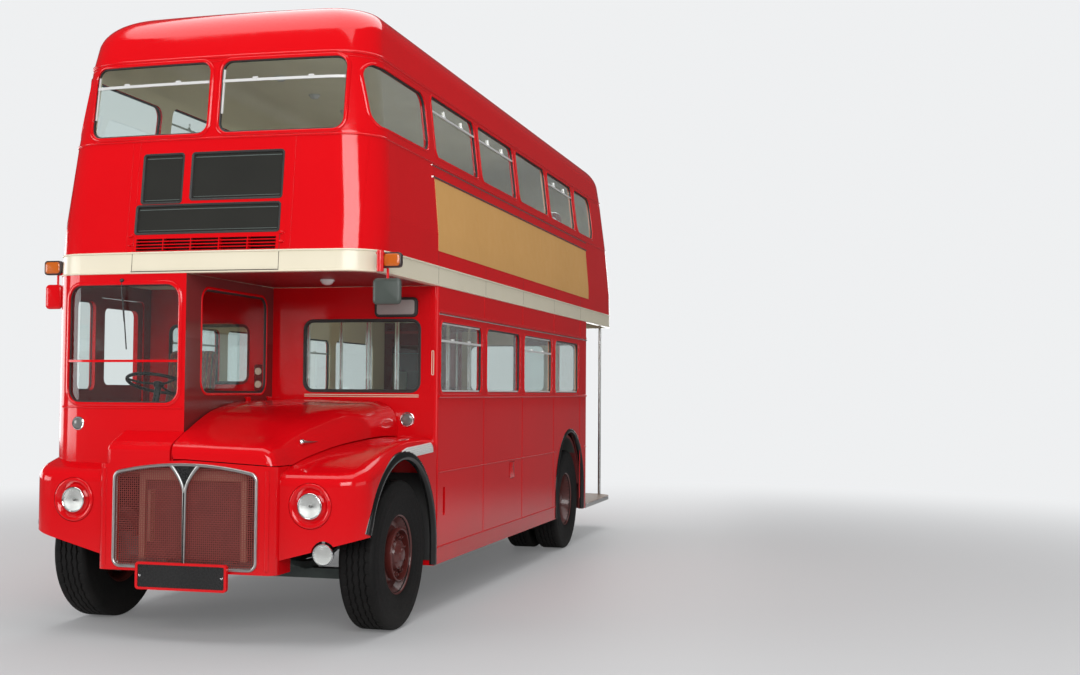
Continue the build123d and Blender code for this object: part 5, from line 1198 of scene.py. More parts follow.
def arch_path(station, centre_z, radius, start, end, rear_foot, front_foot):
    """The arch's edge: up from the rear foot, round between two angles, and down to the
    front foot if there is one."""
    turn = np.radians(np.linspace(start, end, 49))
    path = np.stack([station + radius * np.cos(turn), centre_z + radius * np.sin(turn)], -1)
    if rear_foot:
        path = np.concatenate([[(station + radius, z) for z in np.linspace(rear_foot, centre_z, 5)[:-1]],
                               path])
    if front_foot:
        foot = [(station - radius, z) for z in np.linspace(centre_z, front_foot, 5)[1:]]
        path = np.concatenate([path, foot])
    return path


LIP = [(-0.10, -0.032), (-0.12, 0.0045), (0.05, 0.0110), (0.40, 0.0125), (0.80, 0.0085), (1.0, 0.0020),
       (1.0, -0.008)]
lips = []
for side in (-1, 1):
    front_arch = arch_path(0.846, 0.527, 0.648, 0, 164, 0.366, None)
    rear_arch = arch_path(5.977, 0.603, 0.622, 0, 180, 0.366, 0.366)
    lips.append(strip(front_arch, -0.056, LIP, wing_place(side)))
    lips.append(strip(rear_arch, -0.036, LIP, station_side(side)))
lip_rubber = drifting("lip_rubber", (0.006, 0.006, 0.006), (0.010, 0.010, 0.010), (0.10, 0.20),
                      6, 50, 0.0002)
piece("front_aprons", [slab(sorted((side * 0.655, side * 1.188)), (0.400, 1.040), 0.0010, 0.0060,
                            flat_front(1.4895)) for side in (-1, 1)], BODY, black_rubber)
piece("arch_lips", lips, BODY, lip_rubber, sharp=60)
run = np.linspace(0, 1, 33)
plate_widths = 0.036 * np.minimum(1, run / 0.28 + 0.08) ** 0.7
ribs = [(-1, -0.002)] + [(share, 0.0030 + 0.0022 * math.cos(share * 5 * math.pi))
                         for share in np.linspace(-1, 1, 31)]
ribs += [(1, -0.002)]
plate_path = np.stack([0.752 + 0.700 * run, 1.208 + 0.026 * run], -1)
piece("wing_step_plate", [strip(plate_path, plate_widths, ribs, wing_place(1))], BODY,
      bright_alloy, sharp=60)
HANDLE_Z = 1.300
HANDLE_GRIP = [(-1, 0.008), (-0.6, 0.016), (0.6, 0.016), (1, 0.008), (0.5, 0.004), (-0.5, 0.004)]


def bonnet_side(station, z, out):
    """Places (station, height, stand out) on the bonnet's side, which widens as the station grows."""
    return np.stack([0.6635 + 0.19 * (station - 0.36) + out, NOSE_Y + station, z], -1)


handle_path = np.stack([np.linspace(0.360, 0.520, 9), np.full(9, HANDLE_Z)], -1)
handle_width = 0.010 * (1 - np.linspace(0, 1, 9) ** 2) + 0.0012
handle = strip(handle_path, handle_width, HANDLE_GRIP, bonnet_side)
knob = turned([(-0.012, 0.0), (-0.012, 0.020), (0.004, 0.019), (0.010, 0.012), (0.012, 0.0)], 0.6665,
              NOSE_Y + 0.370, HANDLE_Z, 32)
piece("bonnet_handle", [handle, knob], "bonnet", chrome, sharp=50)

# Mirrors and direction indicators: pressed shells on cranked arms that are bolted to the corners below
# the upper deck. The mirrors' backs are enamelled grey-green at the kerb side and red at the other.
INDICATOR = ((1.240, 1.375), (2.460, 2.562))
MIRROR_Z = (2.217, 2.392)
INDICATOR_SHELL = [(-0.012, -0.034), (-0.002, -0.028), (0, -0.018), (0, 0.010), (-0.004, 0.013)]
INDICATOR_LENS = [(0, 0.004), (0, 0.014), (-0.003, 0.0175), (-0.016, 0.0195)]
ARM_PAD = [(0, -0.024), (0, 0.002), (-0.002, 0.004)]
MIRROR_BACK = [(-0.002, -0.018), (0, -0.016), (0, -0.006), (-0.004, 0.002), (-0.022, 0.0065)]
MIRROR_FACE = [(0, -0.0215), (0, -0.0165)]
shells, lens_parts, arms, backs, mirror_faces = [], [], [], [], []


def cord_rings(path, first, second, radius, sides):
    """Circles of the radius round a path's points, in the plane of two directions square to it."""
    turn = full_turn(sides)
    return path[:, None] + radius * (np.cos(turn)[None, :, None] * first[:, None]
                                     + np.sin(turn)[None, :, None] * second[:, None])


def rod(path, radius, sides=12):
    """A round bar: rings of the radius square to the path, and a flat face at each end."""
    path = np.asarray(path, float)
    run = np.gradient(path, axis=0)
    run /= np.linalg.norm(run, axis=1)[:, None]
    level = np.where(np.abs(run[:, 2:3]) < 0.9, np.array([[0, 0, 1.0]]), np.array([[0, 1.0, 0]]))
    first = np.cross(run, level)
    first /= np.linalg.norm(first, axis=1)[:, None]
    second = np.cross(run, first)
    return cord_rings(path, first, second, radius, sides), capped_faces(len(path), sides)


for side, arm, inner in ((-1, 0.435, 1.239), (1, 0.320, 1.173)):
    face = flat_front(arm)
    span = sorted(side * x for x in INDICATOR[0])
    shells.append(tray(span, INDICATOR[1], 0.024, INDICATOR_SHELL, face))
    lens_parts.append(tray(within(span, 0.010), within(INDICATOR[1], 0.010), 0.020, INDICATOR_LENS, face))
    x_in = side * (level_at(2.47)[0] - 0.004)
    bends = ((x_in * 0.985, 2.466), (x_in * 1.01, 2.466), (side * 1.262, 2.466), (side * 1.275, 2.455),
             (side * 1.275, 2.380))
    arms.append(rod([(x, NOSE_Y + arm + 0.010, z) for x, z in bends], 0.009))
    arms.append(tray(around(x_in, 0.012), (2.452, 2.480), 0.006, ARM_PAD, face))
    span = sorted((side * inner, side * 1.370))
    back = tray(span, MIRROR_Z, 0.030, MIRROR_BACK, face)
    backs.append((*back, 0 if side == 1 else 1))
    mirror_faces.append(tray(within(span, 0.006), within(MIRROR_Z, 0.006), 0.026, MIRROR_FACE, face))
boss, boss_cap = [rod([(1.238, NOSE_Y + 0.285, z) for z in span], radius, 20)
                  for span, radius in (((2.432, 2.572), 0.024), ((2.548, 2.560), 0.029))]
piece("indicator_boss", [boss, boss_cap], BODY, gloss_red, sharp=40)
grey_green = drifting("mirror_grey_green", (0.065, 0.078, 0.068), (0.045, 0.055, 0.048), (0.3, 0.45), 9, 60)
shell_brown = drifting("indicator_shell", (0.045, 0.022, 0.020), (0.03, 0.016, 0.015), (0.3, 0.5), 9, 70)
piece("indicator_shells", shells, BODY, shell_brown, sharp=50)
piece("indicator_lenses", lens_parts, BODY, amber_lens, sharp=60)
piece("mirror_arms", arms, BODY, gloss_red, sharp=50)
back_piece = piece("mirror_backs", backs, BODY, [grey_green, gloss_red], sharp=50)
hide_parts("mirrors")
piece("mirror_faces", mirror_faces, BODY, silvered, sharp=50)

# Bulkhead fittings: a frosted lamp box over the saloon's front window, a riveted strip at the corner painted
# with the body, and a white double bead under the window. Two chrome screws hold the front number plate.
frosted = drifting("frosted_glass", (0.34, 0.30, 0.28), (0.27, 0.24, 0.23), (0.35, 0.5), 20, 160, 0.0002)
BOX_ACROSS, BOX_HEIGHTS = (0.728, 1.056), (2.209, 2.346)
lamp_box = tray(BOX_ACROSS, BOX_HEIGHTS, 0.030,
                [(0.006, -0.001), (0.006, 0.020), (0.002, 0.026), (-0.010, 0.028)], bulkhead_wall)
piece("bulkhead_lamp_box", [lamp_box], BODY, black_rubber, sharp=50)
box_glass = tray(within(BOX_ACROSS, 0.014), within(BOX_HEIGHTS, 0.014), 0.020,
                 [(0, 0.020), (0, 0.0285), (-0.004, 0.030)], bulkhead_wall)
piece("bulkhead_lamp_glass", [box_glass], BODY, frosted, sharp=50)
corner_parts = [slab((1.108, 1.164), (1.640, 2.420), -0.001, 0.0028, bulkhead_wall)]
for z in np.arange(1.660, 2.41, 0.060):
    for x in (1.114, 1.158):
        corner_parts.append(tray(around(x, 0.003), around(z, 0.003), 0.0029,
                                 [(0, 0.002), (0, 0.0034), (-0.002, 0.0042)], bulkhead_wall))
piece("corner_strip", corner_parts, BODY, gloss_red, sharp=50)
piece("bulkhead_beads", [bead((0.150, 1.072), z, 0.007, 0.005, bulkhead_wall) for z in (1.618, 1.604)],
      BODY, cream, sharp=60)
plate_screws = [tray(around(x, 0.007), around(0.4265, 0.007), 0.0068, [(0, 0), (0, 0.0025), (-0.003, 0.004)],
                     flat_front(-0.036)) for x in (-0.296, 0.296)]
piece("plate_screws", plate_screws, BODY, chrome, sharp=50)

# Bonnet: one pressed and hand-finished aluminium sheet, rolled over at its crease and turned down
# at every edge. It is hinged along the cab wall on two knuckles and swings up over the engine.
BONNET_LEFT = -0.104
BONNET_SHEET = 0.010
EDGE_GAP = 0.006
# Station, height at the hinge side, crease x and z, rounding, foot x and z, and foot of the hinge flange
BONNET_ROWS = np.array([(0.008, 1.240, 0.556, 1.228, 0.070, 0.596, 1.120, 1.180),
                        (0.018, 1.270, 0.580, 1.254, 0.085, 0.626, 1.120, 1.185),
                        (0.050, 1.297, 0.600, 1.279, 0.100, 0.645, 1.120, 1.190),
                        (0.240, 1.388, 0.616, 1.332, 0.130, 0.668, 1.130, 1.280),
                        (0.600, 1.513, 0.690, 1.447, 0.165, 0.764, 1.200, 1.400),
                        (1.050, 1.568, 0.845, 1.535, 0.190, 0.872, 1.230, 1.460),
                        (1.532, 1.578, 0.905, 1.563, 0.190, 0.908, 1.230, 1.470)])


def smooth_rows(rows, count, pull):
    """Rows faired through the given ones: cubic pieces whose slopes are harmonic means,
    so nothing overshoots.

    The running length is that of the first two columns, and pull crowds the new rows towards its start.
    """
    length = np.concatenate([[0], np.cumsum(np.hypot(*np.diff(rows[:, :2], axis=0).T))])
    slope = np.diff(rows, axis=0) / np.diff(length)[:, None]
    before, after = slope[:-1], slope[1:]
    inner = np.where(before * after > 0, 2 * before * after / (before + after + (before + after == 0)), 0)
    tangent = np.concatenate([slope[:1], inner, slope[-1:]])
    at = length[-1] * np.linspace(0, 1, count) ** pull
    k = np.clip(np.searchsorted(length, at, side="right") - 1, 0, len(rows) - 2)
    h = (length[k + 1] - length[k])[:, None]
    s = (at - length[k])[:, None] / h
    return ((2 * s ** 3 - 3 * s ** 2 + 1) * rows[k] + (s ** 3 - 2 * s ** 2 + s) * h * tangent[k]
            + (3 * s ** 2 - 2 * s ** 3) * rows[k + 1] + (s ** 3 - s ** 2) * h * tangent[k + 1])


def bonnet_sheet():
    """The bonnet's outer face, row by row towards the rear: hinge flange, top, rolled crease and side.

    The crease is a quadratic curve whose middle control point is the sharp corner. The
    side stops just over the wing and the nose, and the first row folds down to the nose
    as the front face. A slight crown lifts the top.
    """
    rows = smooth_rows(BONNET_ROWS, 64, 1.5)
    station, top_z, cx, cz, rounding, fx, fz, flange = rows.T
    hinge = np.stack([np.full(len(rows), BONNET_LEFT), top_z], -1)
    corner, foot = np.stack([cx, cz], -1), np.stack([fx, fz], -1)

    def back(towards):
        leg = towards - corner
        return corner + leg / np.linalg.norm(leg, axis=1)[:, None] * rounding[:, None]

    a, b = back(hinge), back(foot)
    edge_z = np.maximum(1.150, wing_top(np.maximum(station, 0.064))) + EDGE_GAP
    share = np.clip((b[:, 1] - edge_z) / (b[:, 1] - foot[:, 1]), 0.02, 1)
    end = b + (foot - b) * share[:, None]
    u = np.linspace(0, 1, 13)[None, :, None]
    down = np.stack([np.full(len(rows), BONNET_LEFT), flange], -1)
    riser = down[:, None] + (hinge - down)[:, None] * u[:, ::4]
    top = hinge[:, None] + (a - hinge)[:, None] * u
    roll = (1 - u) ** 2 * a[:, None] + 2 * u * (1 - u) * corner[:, None] + u ** 2 * b[:, None]
    flank = b[:, None] + (end - b)[:, None] * u[:, ::2]
    section = np.concatenate([riser, top[:, 1:], roll[:, 1:], flank[:, 1:]], 1)
    crown = np.clip((section[..., 0] - BONNET_LEFT) / (cx - BONNET_LEFT)[:, None], 0, 1)
    lift = 0.012 * np.sin(math.pi * crown) * np.clip((station - 0.05) / 0.4, 0, 1)[:, None]
    lift[:, :4] = 0
    sheet = np.stack([section[..., 0], np.broadcast_to(NOSE_Y + station[:, None], section.shape[:2]),
                      section[..., 1] + lift], -1)
    fold = sheet[0].copy()
    fold[:, 2] = np.minimum(sheet[0, :, 2], 1.184 - 0.034 * np.clip(fold[:, 0], 0, 1) / 0.648 + EDGE_GAP)
    return np.concatenate([fold[None], sheet])


def thickened(sheet, thick):
    """Closes a sheet: its inner face lies the thickness in along the cross product of its two gradients."""
    normal = np.cross(np.gradient(sheet, axis=0), np.gradient(sheet, axis=1))
    normal /= np.maximum(np.linalg.norm(normal, axis=-1), 1e-9)[..., None]
    rows, count = sheet.shape[:2]
    if normal[rows // 2, count // 3, 2] < 0:
        normal = -normal
    points = np.concatenate([sheet, (sheet - thick * normal)[:, ::-1]], 1)
    return points, folded_faces(rows, 2 * count)


HINGE_X, HINGE_Z = -0.1117, 1.592
bonnet_parts = [thickened(bonnet_sheet(), BONNET_SHEET)]
for start in (1.080, 1.440):
    bonnet_parts.append(rod([(HINGE_X, NOSE_Y + start, HINGE_Z),
                             (HINGE_X, NOSE_Y + start + 0.060, HINGE_Z)], 0.008, 20))
    bonnet_parts.append(bar((HINGE_X, BONNET_LEFT + 0.004), (NOSE_Y + start, NOSE_Y + start + 0.060),
                            (1.560, HINGE_Z)))
bonnet_piece = piece("bonnet_sheet", bonnet_parts, "bonnet", gloss_red, sharp=38)
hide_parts("bonnet")

# Canopy: a flat steel panel under the upper deck beside the cab, painted a flatter red than the body; its
# red is darkened further as painted shade for the shadow under the upper deck.
# One small lamp is screwed to it, and lit the bonnet.
canopy_shaded_red = drifting("canopy_shaded_red", (0.24, 0.006, 0.009), (0.18, 0.005, 0.008), (0.30, 0.45), 2, 40, 0.0002)


def domed(profile, x, y, z, turns=32):
    """A closed profile of (height, radius) turned about an upright axis."""
    h, r = np.array(profile, float).T
    angle = full_turn(turns)[:, None]
    ring_x, ring_y = x + r[None, :] * np.cos(angle), y + r[None, :] * np.sin(angle)
    points = np.stack(np.broadcast_arrays(ring_x, ring_y, z + h[None, :]), -1)
    return points, ring_faces(turns, len(h))


CANOPY_UNDER, CANOPY_OVER = 2.4375, 2.4435
canopy_x = np.linspace(-0.117, 1.168, 40)
canopy_front = front_place(canopy_x, np.full(40, 2.440), np.full(40, -0.010))[:, 1]
canopy_back = np.full(40, NOSE_Y + 1.539)
canopy_edges = ((canopy_front, CANOPY_UNDER), (canopy_back, CANOPY_UNDER), (canopy_back, CANOPY_OVER),
                (canopy_front, CANOPY_OVER))
canopy_points = np.stack([np.stack([canopy_x, y, np.full(40, z)], -1) for y, z in canopy_edges], 1)
piece("canopy_panel", [(canopy_points, capped_faces(40, 4))], BODY, canopy_shaded_red)
CEILING_LAMP = [(0.004, 0.052), (-0.008, 0.052), (-0.012, 0.046), (-0.024, 0.040), (-0.036, 0.024),
                (-0.040, 0.0), (0.004, 0.0)]
canopy_lamp = [domed(CEILING_LAMP, 0.600, NOSE_Y + 0.900, CANOPY_UNDER)]

# Saloon linings: cream enamelled ceilings with a row of opal lamps down each side of both decks.
# The floors are cork and slatted wood over ply; the stairs have ribbed rubber treads.
ROW_PITCH = 0.711
LOWER_CEILING, UPPER_CEILING = 2.4955, 4.318


def stripes(tree, place, pitch, low, high):
    """A share that follows a sine along X with the given pitch, stretched between two of its values."""
    wave = add_node(tree, "ShaderNodeTexWave", {"Vector": place["Object"], "Scale": math.pi / (10 * pitch)},
                    bands_direction="X")
    spread = add_node(tree, "ShaderNodeMapRange", {"Value": wave.outputs["Fac"], "From Min": low,
                                                   "From Max": high})
    return spread.outputs["Result"]


def by_facing(name, colours, rough, slat):
    """A finish that changes with the way a face looks: up, down or sideways, by the normal's Z.

    The upward colour also darkens along lines across the bus, a slat apart, where a
    sine along X is at its lowest.
    """
    up_colour, down_colour, side_colour = colours
    material = drifting(name, side_colour, [c * 0.82 for c in side_colour], rough, 3, 60, 0.0003)
    tree, shader, place, sideways = opened(material)
    facing = add_node(tree, "ShaderNodeSeparateXYZ", {"Vector": place["Normal"]}).outputs["Z"]
    slats = colour_mix(tree, stripes(tree, place, slat, 0, 0.25), (*[c * 0.35 for c in up_colour], 1),
                       (*up_colour, 1))
    upward = colour_mix(tree, worked_out(tree, "GREATER_THAN", facing, 0.7), sideways, slats)
    all_ways = colour_mix(tree, worked_out(tree, "LESS_THAN", facing, -0.7), upward, (*down_colour, 1))
    tree.links.new(all_ways, shader.inputs["Base Color"])
    return material


dress(by_facing("upper_floor_finish", ((0.15, 0.085, 0.045), CEILING_CREAM, SHADOW_RED), (0.45, 0.65),
                0.050), "upper_floor")
dress(by_facing("lower_floor_finish", ((0.20, 0.115, 0.055), (0.06, 0.065, 0.06), (0.16, 0.020, 0.020)),
                (0.45, 0.65), 0.050), "lower_floors")
dress(by_facing("stair_finish", ((0.075, 0.065, 0.060), SHADOW_RED, (0.30, 0.010, 0.014)), (0.35, 0.55),
                0.030), "staircase")
UPPER_LAMP = [(h + 0.012, r) for h, r in CEILING_LAMP]
opal_lamps = [domed(CEILING_LAMP, x, NOSE_Y + station, LOWER_CEILING, 24)
              for station in np.arange(1.95, 6.6, ROW_PITCH) for x in (-0.48, 0.48)]
opal_lamps += [domed(UPPER_LAMP, x, NOSE_Y + station, UPPER_CEILING, 24)
               for station in np.arange(1.10, 7.6, ROW_PITCH) for x in (-0.55, 0.55)]
opal_lamps.append(domed(CEILING_LAMP, 0.60, NOSE_Y + 7.45, LOWER_CEILING, 24))
piece("ceiling_lamps", canopy_lamp + opal_lamps, BODY, opal, sharp=60)

# Seats: sprung squabs and backs in ribbed moquette with leathercloth piping, on
# tubular frames with a bright hand rail. Each pad is a stuffed cover, blown up from a
# smaller closed shape, and like seats share one pad.
SEAT_HALF = 0.430
PAD_VOXEL = 0.020
PAD_WAY = 0.014
FILL_PRESSURE = 4
FILL_FRAMES = 20
BACK_FOOT_Z, BACK_LEAN = 0.425, 0.15
PIPING = 0.0055


def stuffed(points, faces, cap, voxel=PAD_VOXEL):
    """A closed cover filled tight: remeshed, swollen by cloth pressure for 20 frames,
    each point's way capped."""
    raw = bpy.data.meshes.new("cover")
    raw.from_pydata(np.asarray(points).reshape(-1, 3).tolist(), [], faces)
    shell = bmesh.new()
    shell.from_mesh(raw)
    bmesh.ops.remove_doubles(shell, verts=shell.verts, dist=1e-6)
    bmesh.ops.recalc_face_normals(shell, faces=shell.faces)
    shell.to_mesh(raw)
    shell.free()
    cover = bpy.data.objects.new("cover", raw)
    bpy.context.scene.collection.objects.link(cover)
    remesh = cover.modifiers.new("even", "REMESH")
    remesh.mode = "VOXEL"
    remesh.voxel_size = voxel
    depsgraph = bpy.context.evaluated_depsgraph_get()
    even = bpy.data.meshes.new_from_object(cover.evaluated_get(depsgraph))
    cover.modifiers.clear()
    cover.data = even
    start = np.empty(len(even.vertices) * 3)
    even.vertices.foreach_get("co", start)
    start = start.reshape(-1, 3)
    loops = np.empty(len(even.loops), int)
    even.loops.foreach_get("vertex_index", loops)
    result = start
    cloth = cover.modifiers.new("fill", "CLOTH")
    cloth.settings.use_pressure = True
    cloth.settings.uniform_pressure_force = FILL_PRESSURE
    cloth.settings.effector_weights.gravity = 0
    for frame_number in range(1, FILL_FRAMES + 1):
        bpy.context.scene.frame_set(frame_number)
    swollen = cover.evaluated_get(bpy.context.evaluated_depsgraph_get()).to_mesh()
    ended = np.empty(len(start) * 3)
    swollen.vertices.foreach_get("co", ended)
    way = ended.reshape(-1, 3) - start
    way -= way.mean(0)
    reach = np.linalg.norm(way, axis=1)[:, None]
    result = start + way * np.minimum(1, cap / np.maximum(reach, 1e-9))
    bpy.context.scene.frame_set(1)
    quads = np.split(loops, np.cumsum([polygon.loop_total for polygon in even.polygons])[:-1])
    bpy.data.objects.remove(cover)
    return result, [face.tolist() for face in quads]


def squab(half, depth, thick):
    """A seat cushion's cover before filling: a rounded slab that falls towards the back of the seat."""
    def place(a, b, out):
        return np.stack([a, b, out - 0.025 * b / 0.40], -1)
    rings = [(-0.022, 0.352), (0, 0.370), (0, thick - 0.024), (-0.022, thick - 0.008)]
    return tray((-half, half), (0.012, depth), 0.045, rings, place)


def back_pad(half, high, foot_y=0.412, foot_z=BACK_FOOT_Z):
    """A seat back's cover before filling: a rounded slab that leans as its height grows."""
    def place(a, b, out):
        return np.stack([a, foot_y + 0.072 * (b - foot_z) / 0.48 + out, b], -1)
    rings = [(-0.020, 0.002), (0, 0.016), (0, 0.044), (-0.020, 0.060)]
    return tray((-half, half), (foot_z, high), 0.060, rings, place)


def copies(cover, places):
    """One part for each place: the cover's points moved there."""
    points, faces = cover
    return [(np.asarray(points).reshape(-1, 3) + np.array(place), faces) for place in places]


def moquette(name, base, rib, fleck):
    """Ribbed wool pile: ribs from a sine along X, flecks from fine cells, and the cloth's soft sheen."""
    material = drifting(name, base, [c * 0.8 for c in base], (0.85, 0.98), 5, 220, 0.0006)
    tree, shader, place, ground = opened(material)
    shader.inputs["Sheen Weight"].default_value = 0.35
    shader.inputs["Sheen Roughness"].default_value = 0.5
    shader.inputs["Specular IOR Level"].default_value = 0.2
    ribbed = colour_mix(tree, stripes(tree, place, 0.036, 0.70, 0.90), ground, (*rib, 1))
    cells = add_node(tree, "ShaderNodeTexVoronoi", {"Vector": place["Object"], "Scale": 70})
    spots = worked_out(tree, "LESS_THAN", cells.outputs["Distance"], 0.28)
    tree.links.new(colour_mix(tree, spots, ribbed, (*fleck, 1)), shader.inputs["Base Color"])
    return material


seat_moquette = moquette("seat_moquette", (0.19, 0.020, 0.022), (0.055, 0.040, 0.030), (0.36, 0.26, 0.09))
leathercloth = drifting("leathercloth", (0.12, 0.022, 0.020), (0.08, 0.016, 0.015), (0.35, 0.5),
                        6, 260, 0.0003)
(bench_squab, bench_back), (driver_squab, driver_back) = [
    (stuffed(*squab(half, 0.394, 0.436), PAD_WAY), stuffed(*back_pad(half, 0.895), PAD_WAY))
    for half in (SEAT_HALF - 0.010, 0.210)]
lower_places = [(side * 0.717, NOSE_Y + 1.960 + ROW_PITCH * row, 0.690) for row in range(5)
                for side in (-1, 1)]
upper_places = [(side * 0.655, NOSE_Y + 0.640 + ROW_PITCH * row, 2.556) for side, rows in ((-1, 8), (1, 9))
                for row in range(rows)]
driver_places = [(-0.770, NOSE_Y + 0.990, 1.070)]
BENCH_SPAN = along((5.425, 6.669))


def bench_pad(side, lying):
    """A long bench's cover before filling, over a wheel: its seat lies flat, its back
    stands against the wall."""
    if lying:
        def place(a, b, out):
            return np.stack([side * b, a, out], -1)
        rings = [(-0.022, 1.199), (0, 1.215), (0, 1.256), (-0.022, 1.270)]
        return tray(BENCH_SPAN, (0.650, 1.080), 0.045, rings, place)

    def place(a, b, out):
        return np.stack([side * (1.160 - out), a, b], -1)
    rings = [(-0.020, 0.0), (0, 0.014), (0, 0.050), (-0.020, 0.064)]
    return tray(BENCH_SPAN, (1.290, 1.568), 0.050, rings, place)


bench_pads = [stuffed(*bench_pad(side, lying), 0.012) for side in (-1, 1) for lying in (True, False)]
lower_seats = piece("lower_seats", copies(bench_squab, lower_places) + copies(bench_back, lower_places)
                    + bench_pads + copies(driver_squab, driver_places) + copies(driver_back, driver_places),
                    BODY, seat_moquette, sharp=80)
upper_seats = piece("upper_seats", copies(bench_squab, upper_places) + copies(bench_back, upper_places),
                    BODY, seat_moquette, sharp=80)
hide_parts("seats")


def ring_of(points, radius, sides=6):
    """A closed round cord along a closed path of points."""
    path = np.asarray(points, float)
    run = np.roll(path, -1, 0) - np.roll(path, 1, 0)
    run /= np.maximum(np.linalg.norm(run, axis=1), 1e-9)[:, None]
    away = path - path.mean(0)
    first = away - (away * run).sum(1)[:, None] * run
    first /= np.linalg.norm(first, axis=1)[:, None]
    second = np.cross(run, first)
    return cord_rings(path, first, second, radius, sides), ring_faces(len(path), sides)


outline = rounded_path((-SEAT_HALF + 0.002, SEAT_HALF - 0.002), (0.004, 0.402), 0.045, 0.0)
squab_piping = ring_of(np.stack([outline[:, 0], outline[:, 1], 0.402 - 0.0625 * outline[:, 1]], -1), PIPING)
outline = rounded_path((-SEAT_HALF + 0.002, SEAT_HALF - 0.002), (0.418, 0.903), 0.060, 0.0)
back_piping = ring_of(np.stack([outline[:, 0], 0.442 + BACK_LEAN * (outline[:, 1] - BACK_FOOT_Z),
                                outline[:, 1]], -1), PIPING)
rail_turn = np.radians(np.linspace(0, 90, 7))
rail_side = np.stack([SEAT_HALF - 0.050 + 0.035 * np.sin(rail_turn[::-1]),
                      0.878 + 0.035 * np.cos(rail_turn[::-1])], -1)
rail_path = [(SEAT_HALF - 0.015, 0.78), *rail_side, *[(-a, b) for a, b in rail_side[::-1]],
             (-SEAT_HALF + 0.015, 0.78)]
hand_rail = rod([(a, 0.492 + BACK_LEAN * (b - BACK_FOOT_Z), b) for a, b in rail_path], 0.009, 8)
all_places = lower_places + upper_places
piece("seat_piping", [part for pad in (squab_piping, back_piping) for part in copies(pad, all_places)],
      BODY, leathercloth, sharp=80)
piece("seat_rails", copies(hand_rail, all_places), BODY, polished, sharp=60)
dress(drifting("seat_frame_enamel", (0.055, 0.035, 0.028), (0.035, 0.025, 0.02), (0.3, 0.45), 7, 60,
               0.0001), "seat_frames")

# Cab: a black steering wheel with three round spokes on a raked column, an instrument box
# with two dials on the rear wall, and a single wiper that hangs from over the windscreen.
WHEEL_CENTRE = np.array((-0.640, NOSE_Y + 0.760, 1.690))
WHEEL_TILT = math.radians(18)
RING_RADIUS = 0.225


def on_wheel(points):
    """Turns points of the level wheel about X by its tilt and moves them to its centre."""
    x, y, z = np.moveaxis(np.asarray(points, float), -1, 0)
    return np.stack([x, y * math.cos(WHEEL_TILT) + z * math.sin(WHEEL_TILT),
                     z * math.cos(WHEEL_TILT) - y * math.sin(WHEEL_TILT)], -1) + WHEEL_CENTRE


turn = full_turn(72)
hoop, hoop_faces = ring_of(np.stack([RING_RADIUS * np.cos(turn), RING_RADIUS * np.sin(turn), 0 * turn],
                                    -1), 0.0125, 12)
wheel_parts = [(on_wheel(hoop), hoop_faces)]
for spoke in range(3):
    angle = math.radians(90 + 120 * spoke)
    reach = np.linspace(0.02, RING_RADIUS, 8)
    path = np.stack([reach * math.cos(angle), reach * math.sin(angle),
                     -0.012 * np.sin(math.pi * reach / RING_RADIUS)], -1)
    points, faces = rod(path, 0.0085, 10)
    wheel_parts.append((on_wheel(points), faces))
boss, boss_faces = domed([(-0.030, 0.0), (-0.030, 0.030), (-0.010, 0.040), (0.006, 0.038), (0.012, 0.026),
                          (0.014, 0.0)], 0, 0, 0, 36)
column, column_faces = domed([(-0.640, 0.0), (-0.640, 0.024), (-0.030, 0.024), (-0.030, 0.0)], 0, 0, 0, 28)
wheel_parts += [(on_wheel(boss), boss_faces), (on_wheel(column), column_faces)]
wheel_piece = piece("steering_wheel_rim", wheel_parts, BODY, black_gloss, sharp=50)
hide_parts("steering_wheel")
cab_back = flat_front(1.5395)
dial_box = tray((-0.262, -0.186), (1.640, 1.846), 0.020, [(0, -0.001), (0, 0.030), (-0.006, 0.038)],
                cab_back)
piece("instrument_box", [dial_box], BODY, black_gloss, sharp=50)
dials = [spun([(0.0, 0.0), (0.0, 0.027), (0.004, 0.027), (0.005, 0.022), (0.003, 0.020), (0.003, 0.0)],
              -0.224, NOSE_Y + 1.5015, z) for z in (1.692, 1.792)]
piece("instrument_dials", dials, BODY, cream, sharp=40)
PIVOT_X, PIVOT_Z = -0.613, 2.392
wiper_arm = front_place(np.linspace(PIVOT_X, -0.590, 6), np.linspace(PIVOT_Z, 2.110, 6),
                        np.array([0.004, 0.014, 0.014, 0.012, 0.010, 0.006]))
wiper_blade = front_place(np.linspace(-0.607, -0.571, 6), np.linspace(2.290, 1.920, 6), np.full(6, 0.001))
pivot_y = float(front_place(np.array([PIVOT_X]), np.array([2.39]), np.zeros(1))[0, 1])
wiper_pivot = spun([(-0.004, 0.0), (-0.004, 0.016), (0.010, 0.014), (0.016, 0.008), (0.018, 0.0)], PIVOT_X,
                   pivot_y, PIVOT_Z, turns=24)
piece("windscreen_wiper", [rod(wiper_arm, 0.0035, 8), rod(wiper_blade, 0.0045, 8), wiper_pivot], BODY,
      black_gloss, sharp=50)

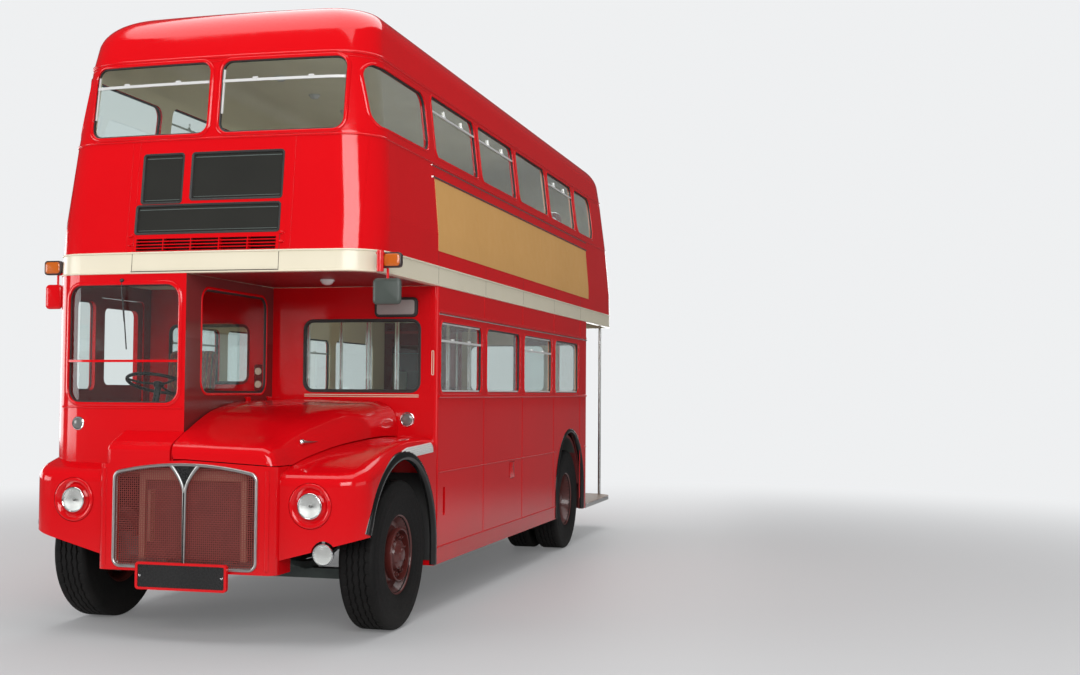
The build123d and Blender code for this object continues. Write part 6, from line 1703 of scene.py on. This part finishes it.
# Springs and brakes: a stack of flat steel leaves each side, bowed down over the front axle and
# clipped at its middle. A cast brake drum fills each front wheel from behind and steers with it.
SPRING_X = 0.524
SPRING_STATION = 0.846
SPRING_HALF = 0.560
LEAF_STEP = 0.075
leaves = []
for side in (-1, 1):
    for number in range(6):
        half = SPRING_HALF - LEAF_STEP * number
        share = np.linspace(-1, 1, 15)
        sag = 0.452 - 0.0085 * number + 0.090 * (share * half / SPRING_HALF) ** 2
        leaves.append(strip(np.stack([SPRING_STATION + half * share, sag], -1), 0.0038,
                            [(-1, -0.034), (-1, 0.034), (1, 0.034), (1, -0.034)],
                            flat_side(side * SPRING_X, side)))
leaves = [(points + np.array([0, NOSE_Y, 0]), faces) for points, faces in leaves]
for side in (-1, 1):
    for station in (0.286, 1.406):
        leaves.append(turned([(-0.036, 0.0), (-0.036, 0.028), (0.036, 0.028), (0.036, 0.0)], side * SPRING_X,
                             NOSE_Y + station, 0.545, 24))
    leaves.append(bar(sorted((side * 0.484, side * 0.564)), along((0.796, 0.896)), (0.404, 0.412)))
piece("front_springs", leaves, BODY, chassis_paint, sharp=50)
for side, hand in HANDS:
    drum = turned([(-0.100, 0.060), (-0.100, 0.185), (-0.088, 0.196), (-0.030, 0.196), (-0.030, 0.060)],
                  side * FRONT_TRACK, FRONT_AXLE_Y, AXLE_Z, 56, side)
    piece(f"brake_plate_{hand}", [drum], f"knuckle_{hand}", cast_iron, sharp=40)

# Radiator surround: side plates, header tank and an off-centre strut, seen through the mesh.
# They are folded steel, painted tan.
tan_enamel = drifting("radiator_tan", (0.42, 0.22, 0.15), (0.30, 0.15, 0.10), (0.4, 0.6), 8, 60)
surround = [bar(across, along((0.110, 0.129)), (0.520, 1.090))
            for across in ((-0.392, -0.352), (0.352, 0.392))]
surround.append(tray((-0.388, 0.388), (1.042, 1.116), 0.020, [(0, -0.001), (0, 0.020), (-0.008, 0.028)],
                     flat_front(0.130)))
surround.append(bar((-0.300, -0.285), along((0.060, 0.129)), (0.640, 0.980)))
piece("radiator_surround", surround, BODY, tan_enamel, sharp=50)

# Platform and side fittings: a bright nosing along the platform's edge, a flush flap over the fuel filler,
# and a cream handhold let into the bulkhead's corner.
platform_edge = slab(along((6.756, 8.050)), (0.357, 0.398), -0.004, 0.0012, side_wall_place(1), 4, 4)
piece("platform_nosing", [platform_edge], BODY, polished)
FLAP = (along((3.570, 3.730)), (0.880, 1.020), 0.018)
flap = tray(*FLAP, [(0, -0.001), (0, 0.0028), (-0.003, 0.0040)], side_wall_place(1))
flap_gap = edging(*FLAP, [(0.0, -0.001), (0.0, 0.0007), (0.004, 0.0007), (0.004, -0.001)],
                  side_wall_place(1))
piece("filler_flap", [flap], BODY, gloss_red, sharp=50)
piece("filler_gap", [flap_gap], BODY, mastic)
handhold = edging((1.1755, 1.1885), (1.770, 1.950), 0.0060,
                  [(0.0, -0.001), (-0.002, 0.002), (0.002, 0.004), (0.0035, -0.001)], bulkhead_wall)
piece("corner_handhold", [handhold], BODY, cream, sharp=50)

low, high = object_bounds()
{"cad": [list(cad_box[0]), list(cad_box[1])], "visual": [list(low), list(high)]}
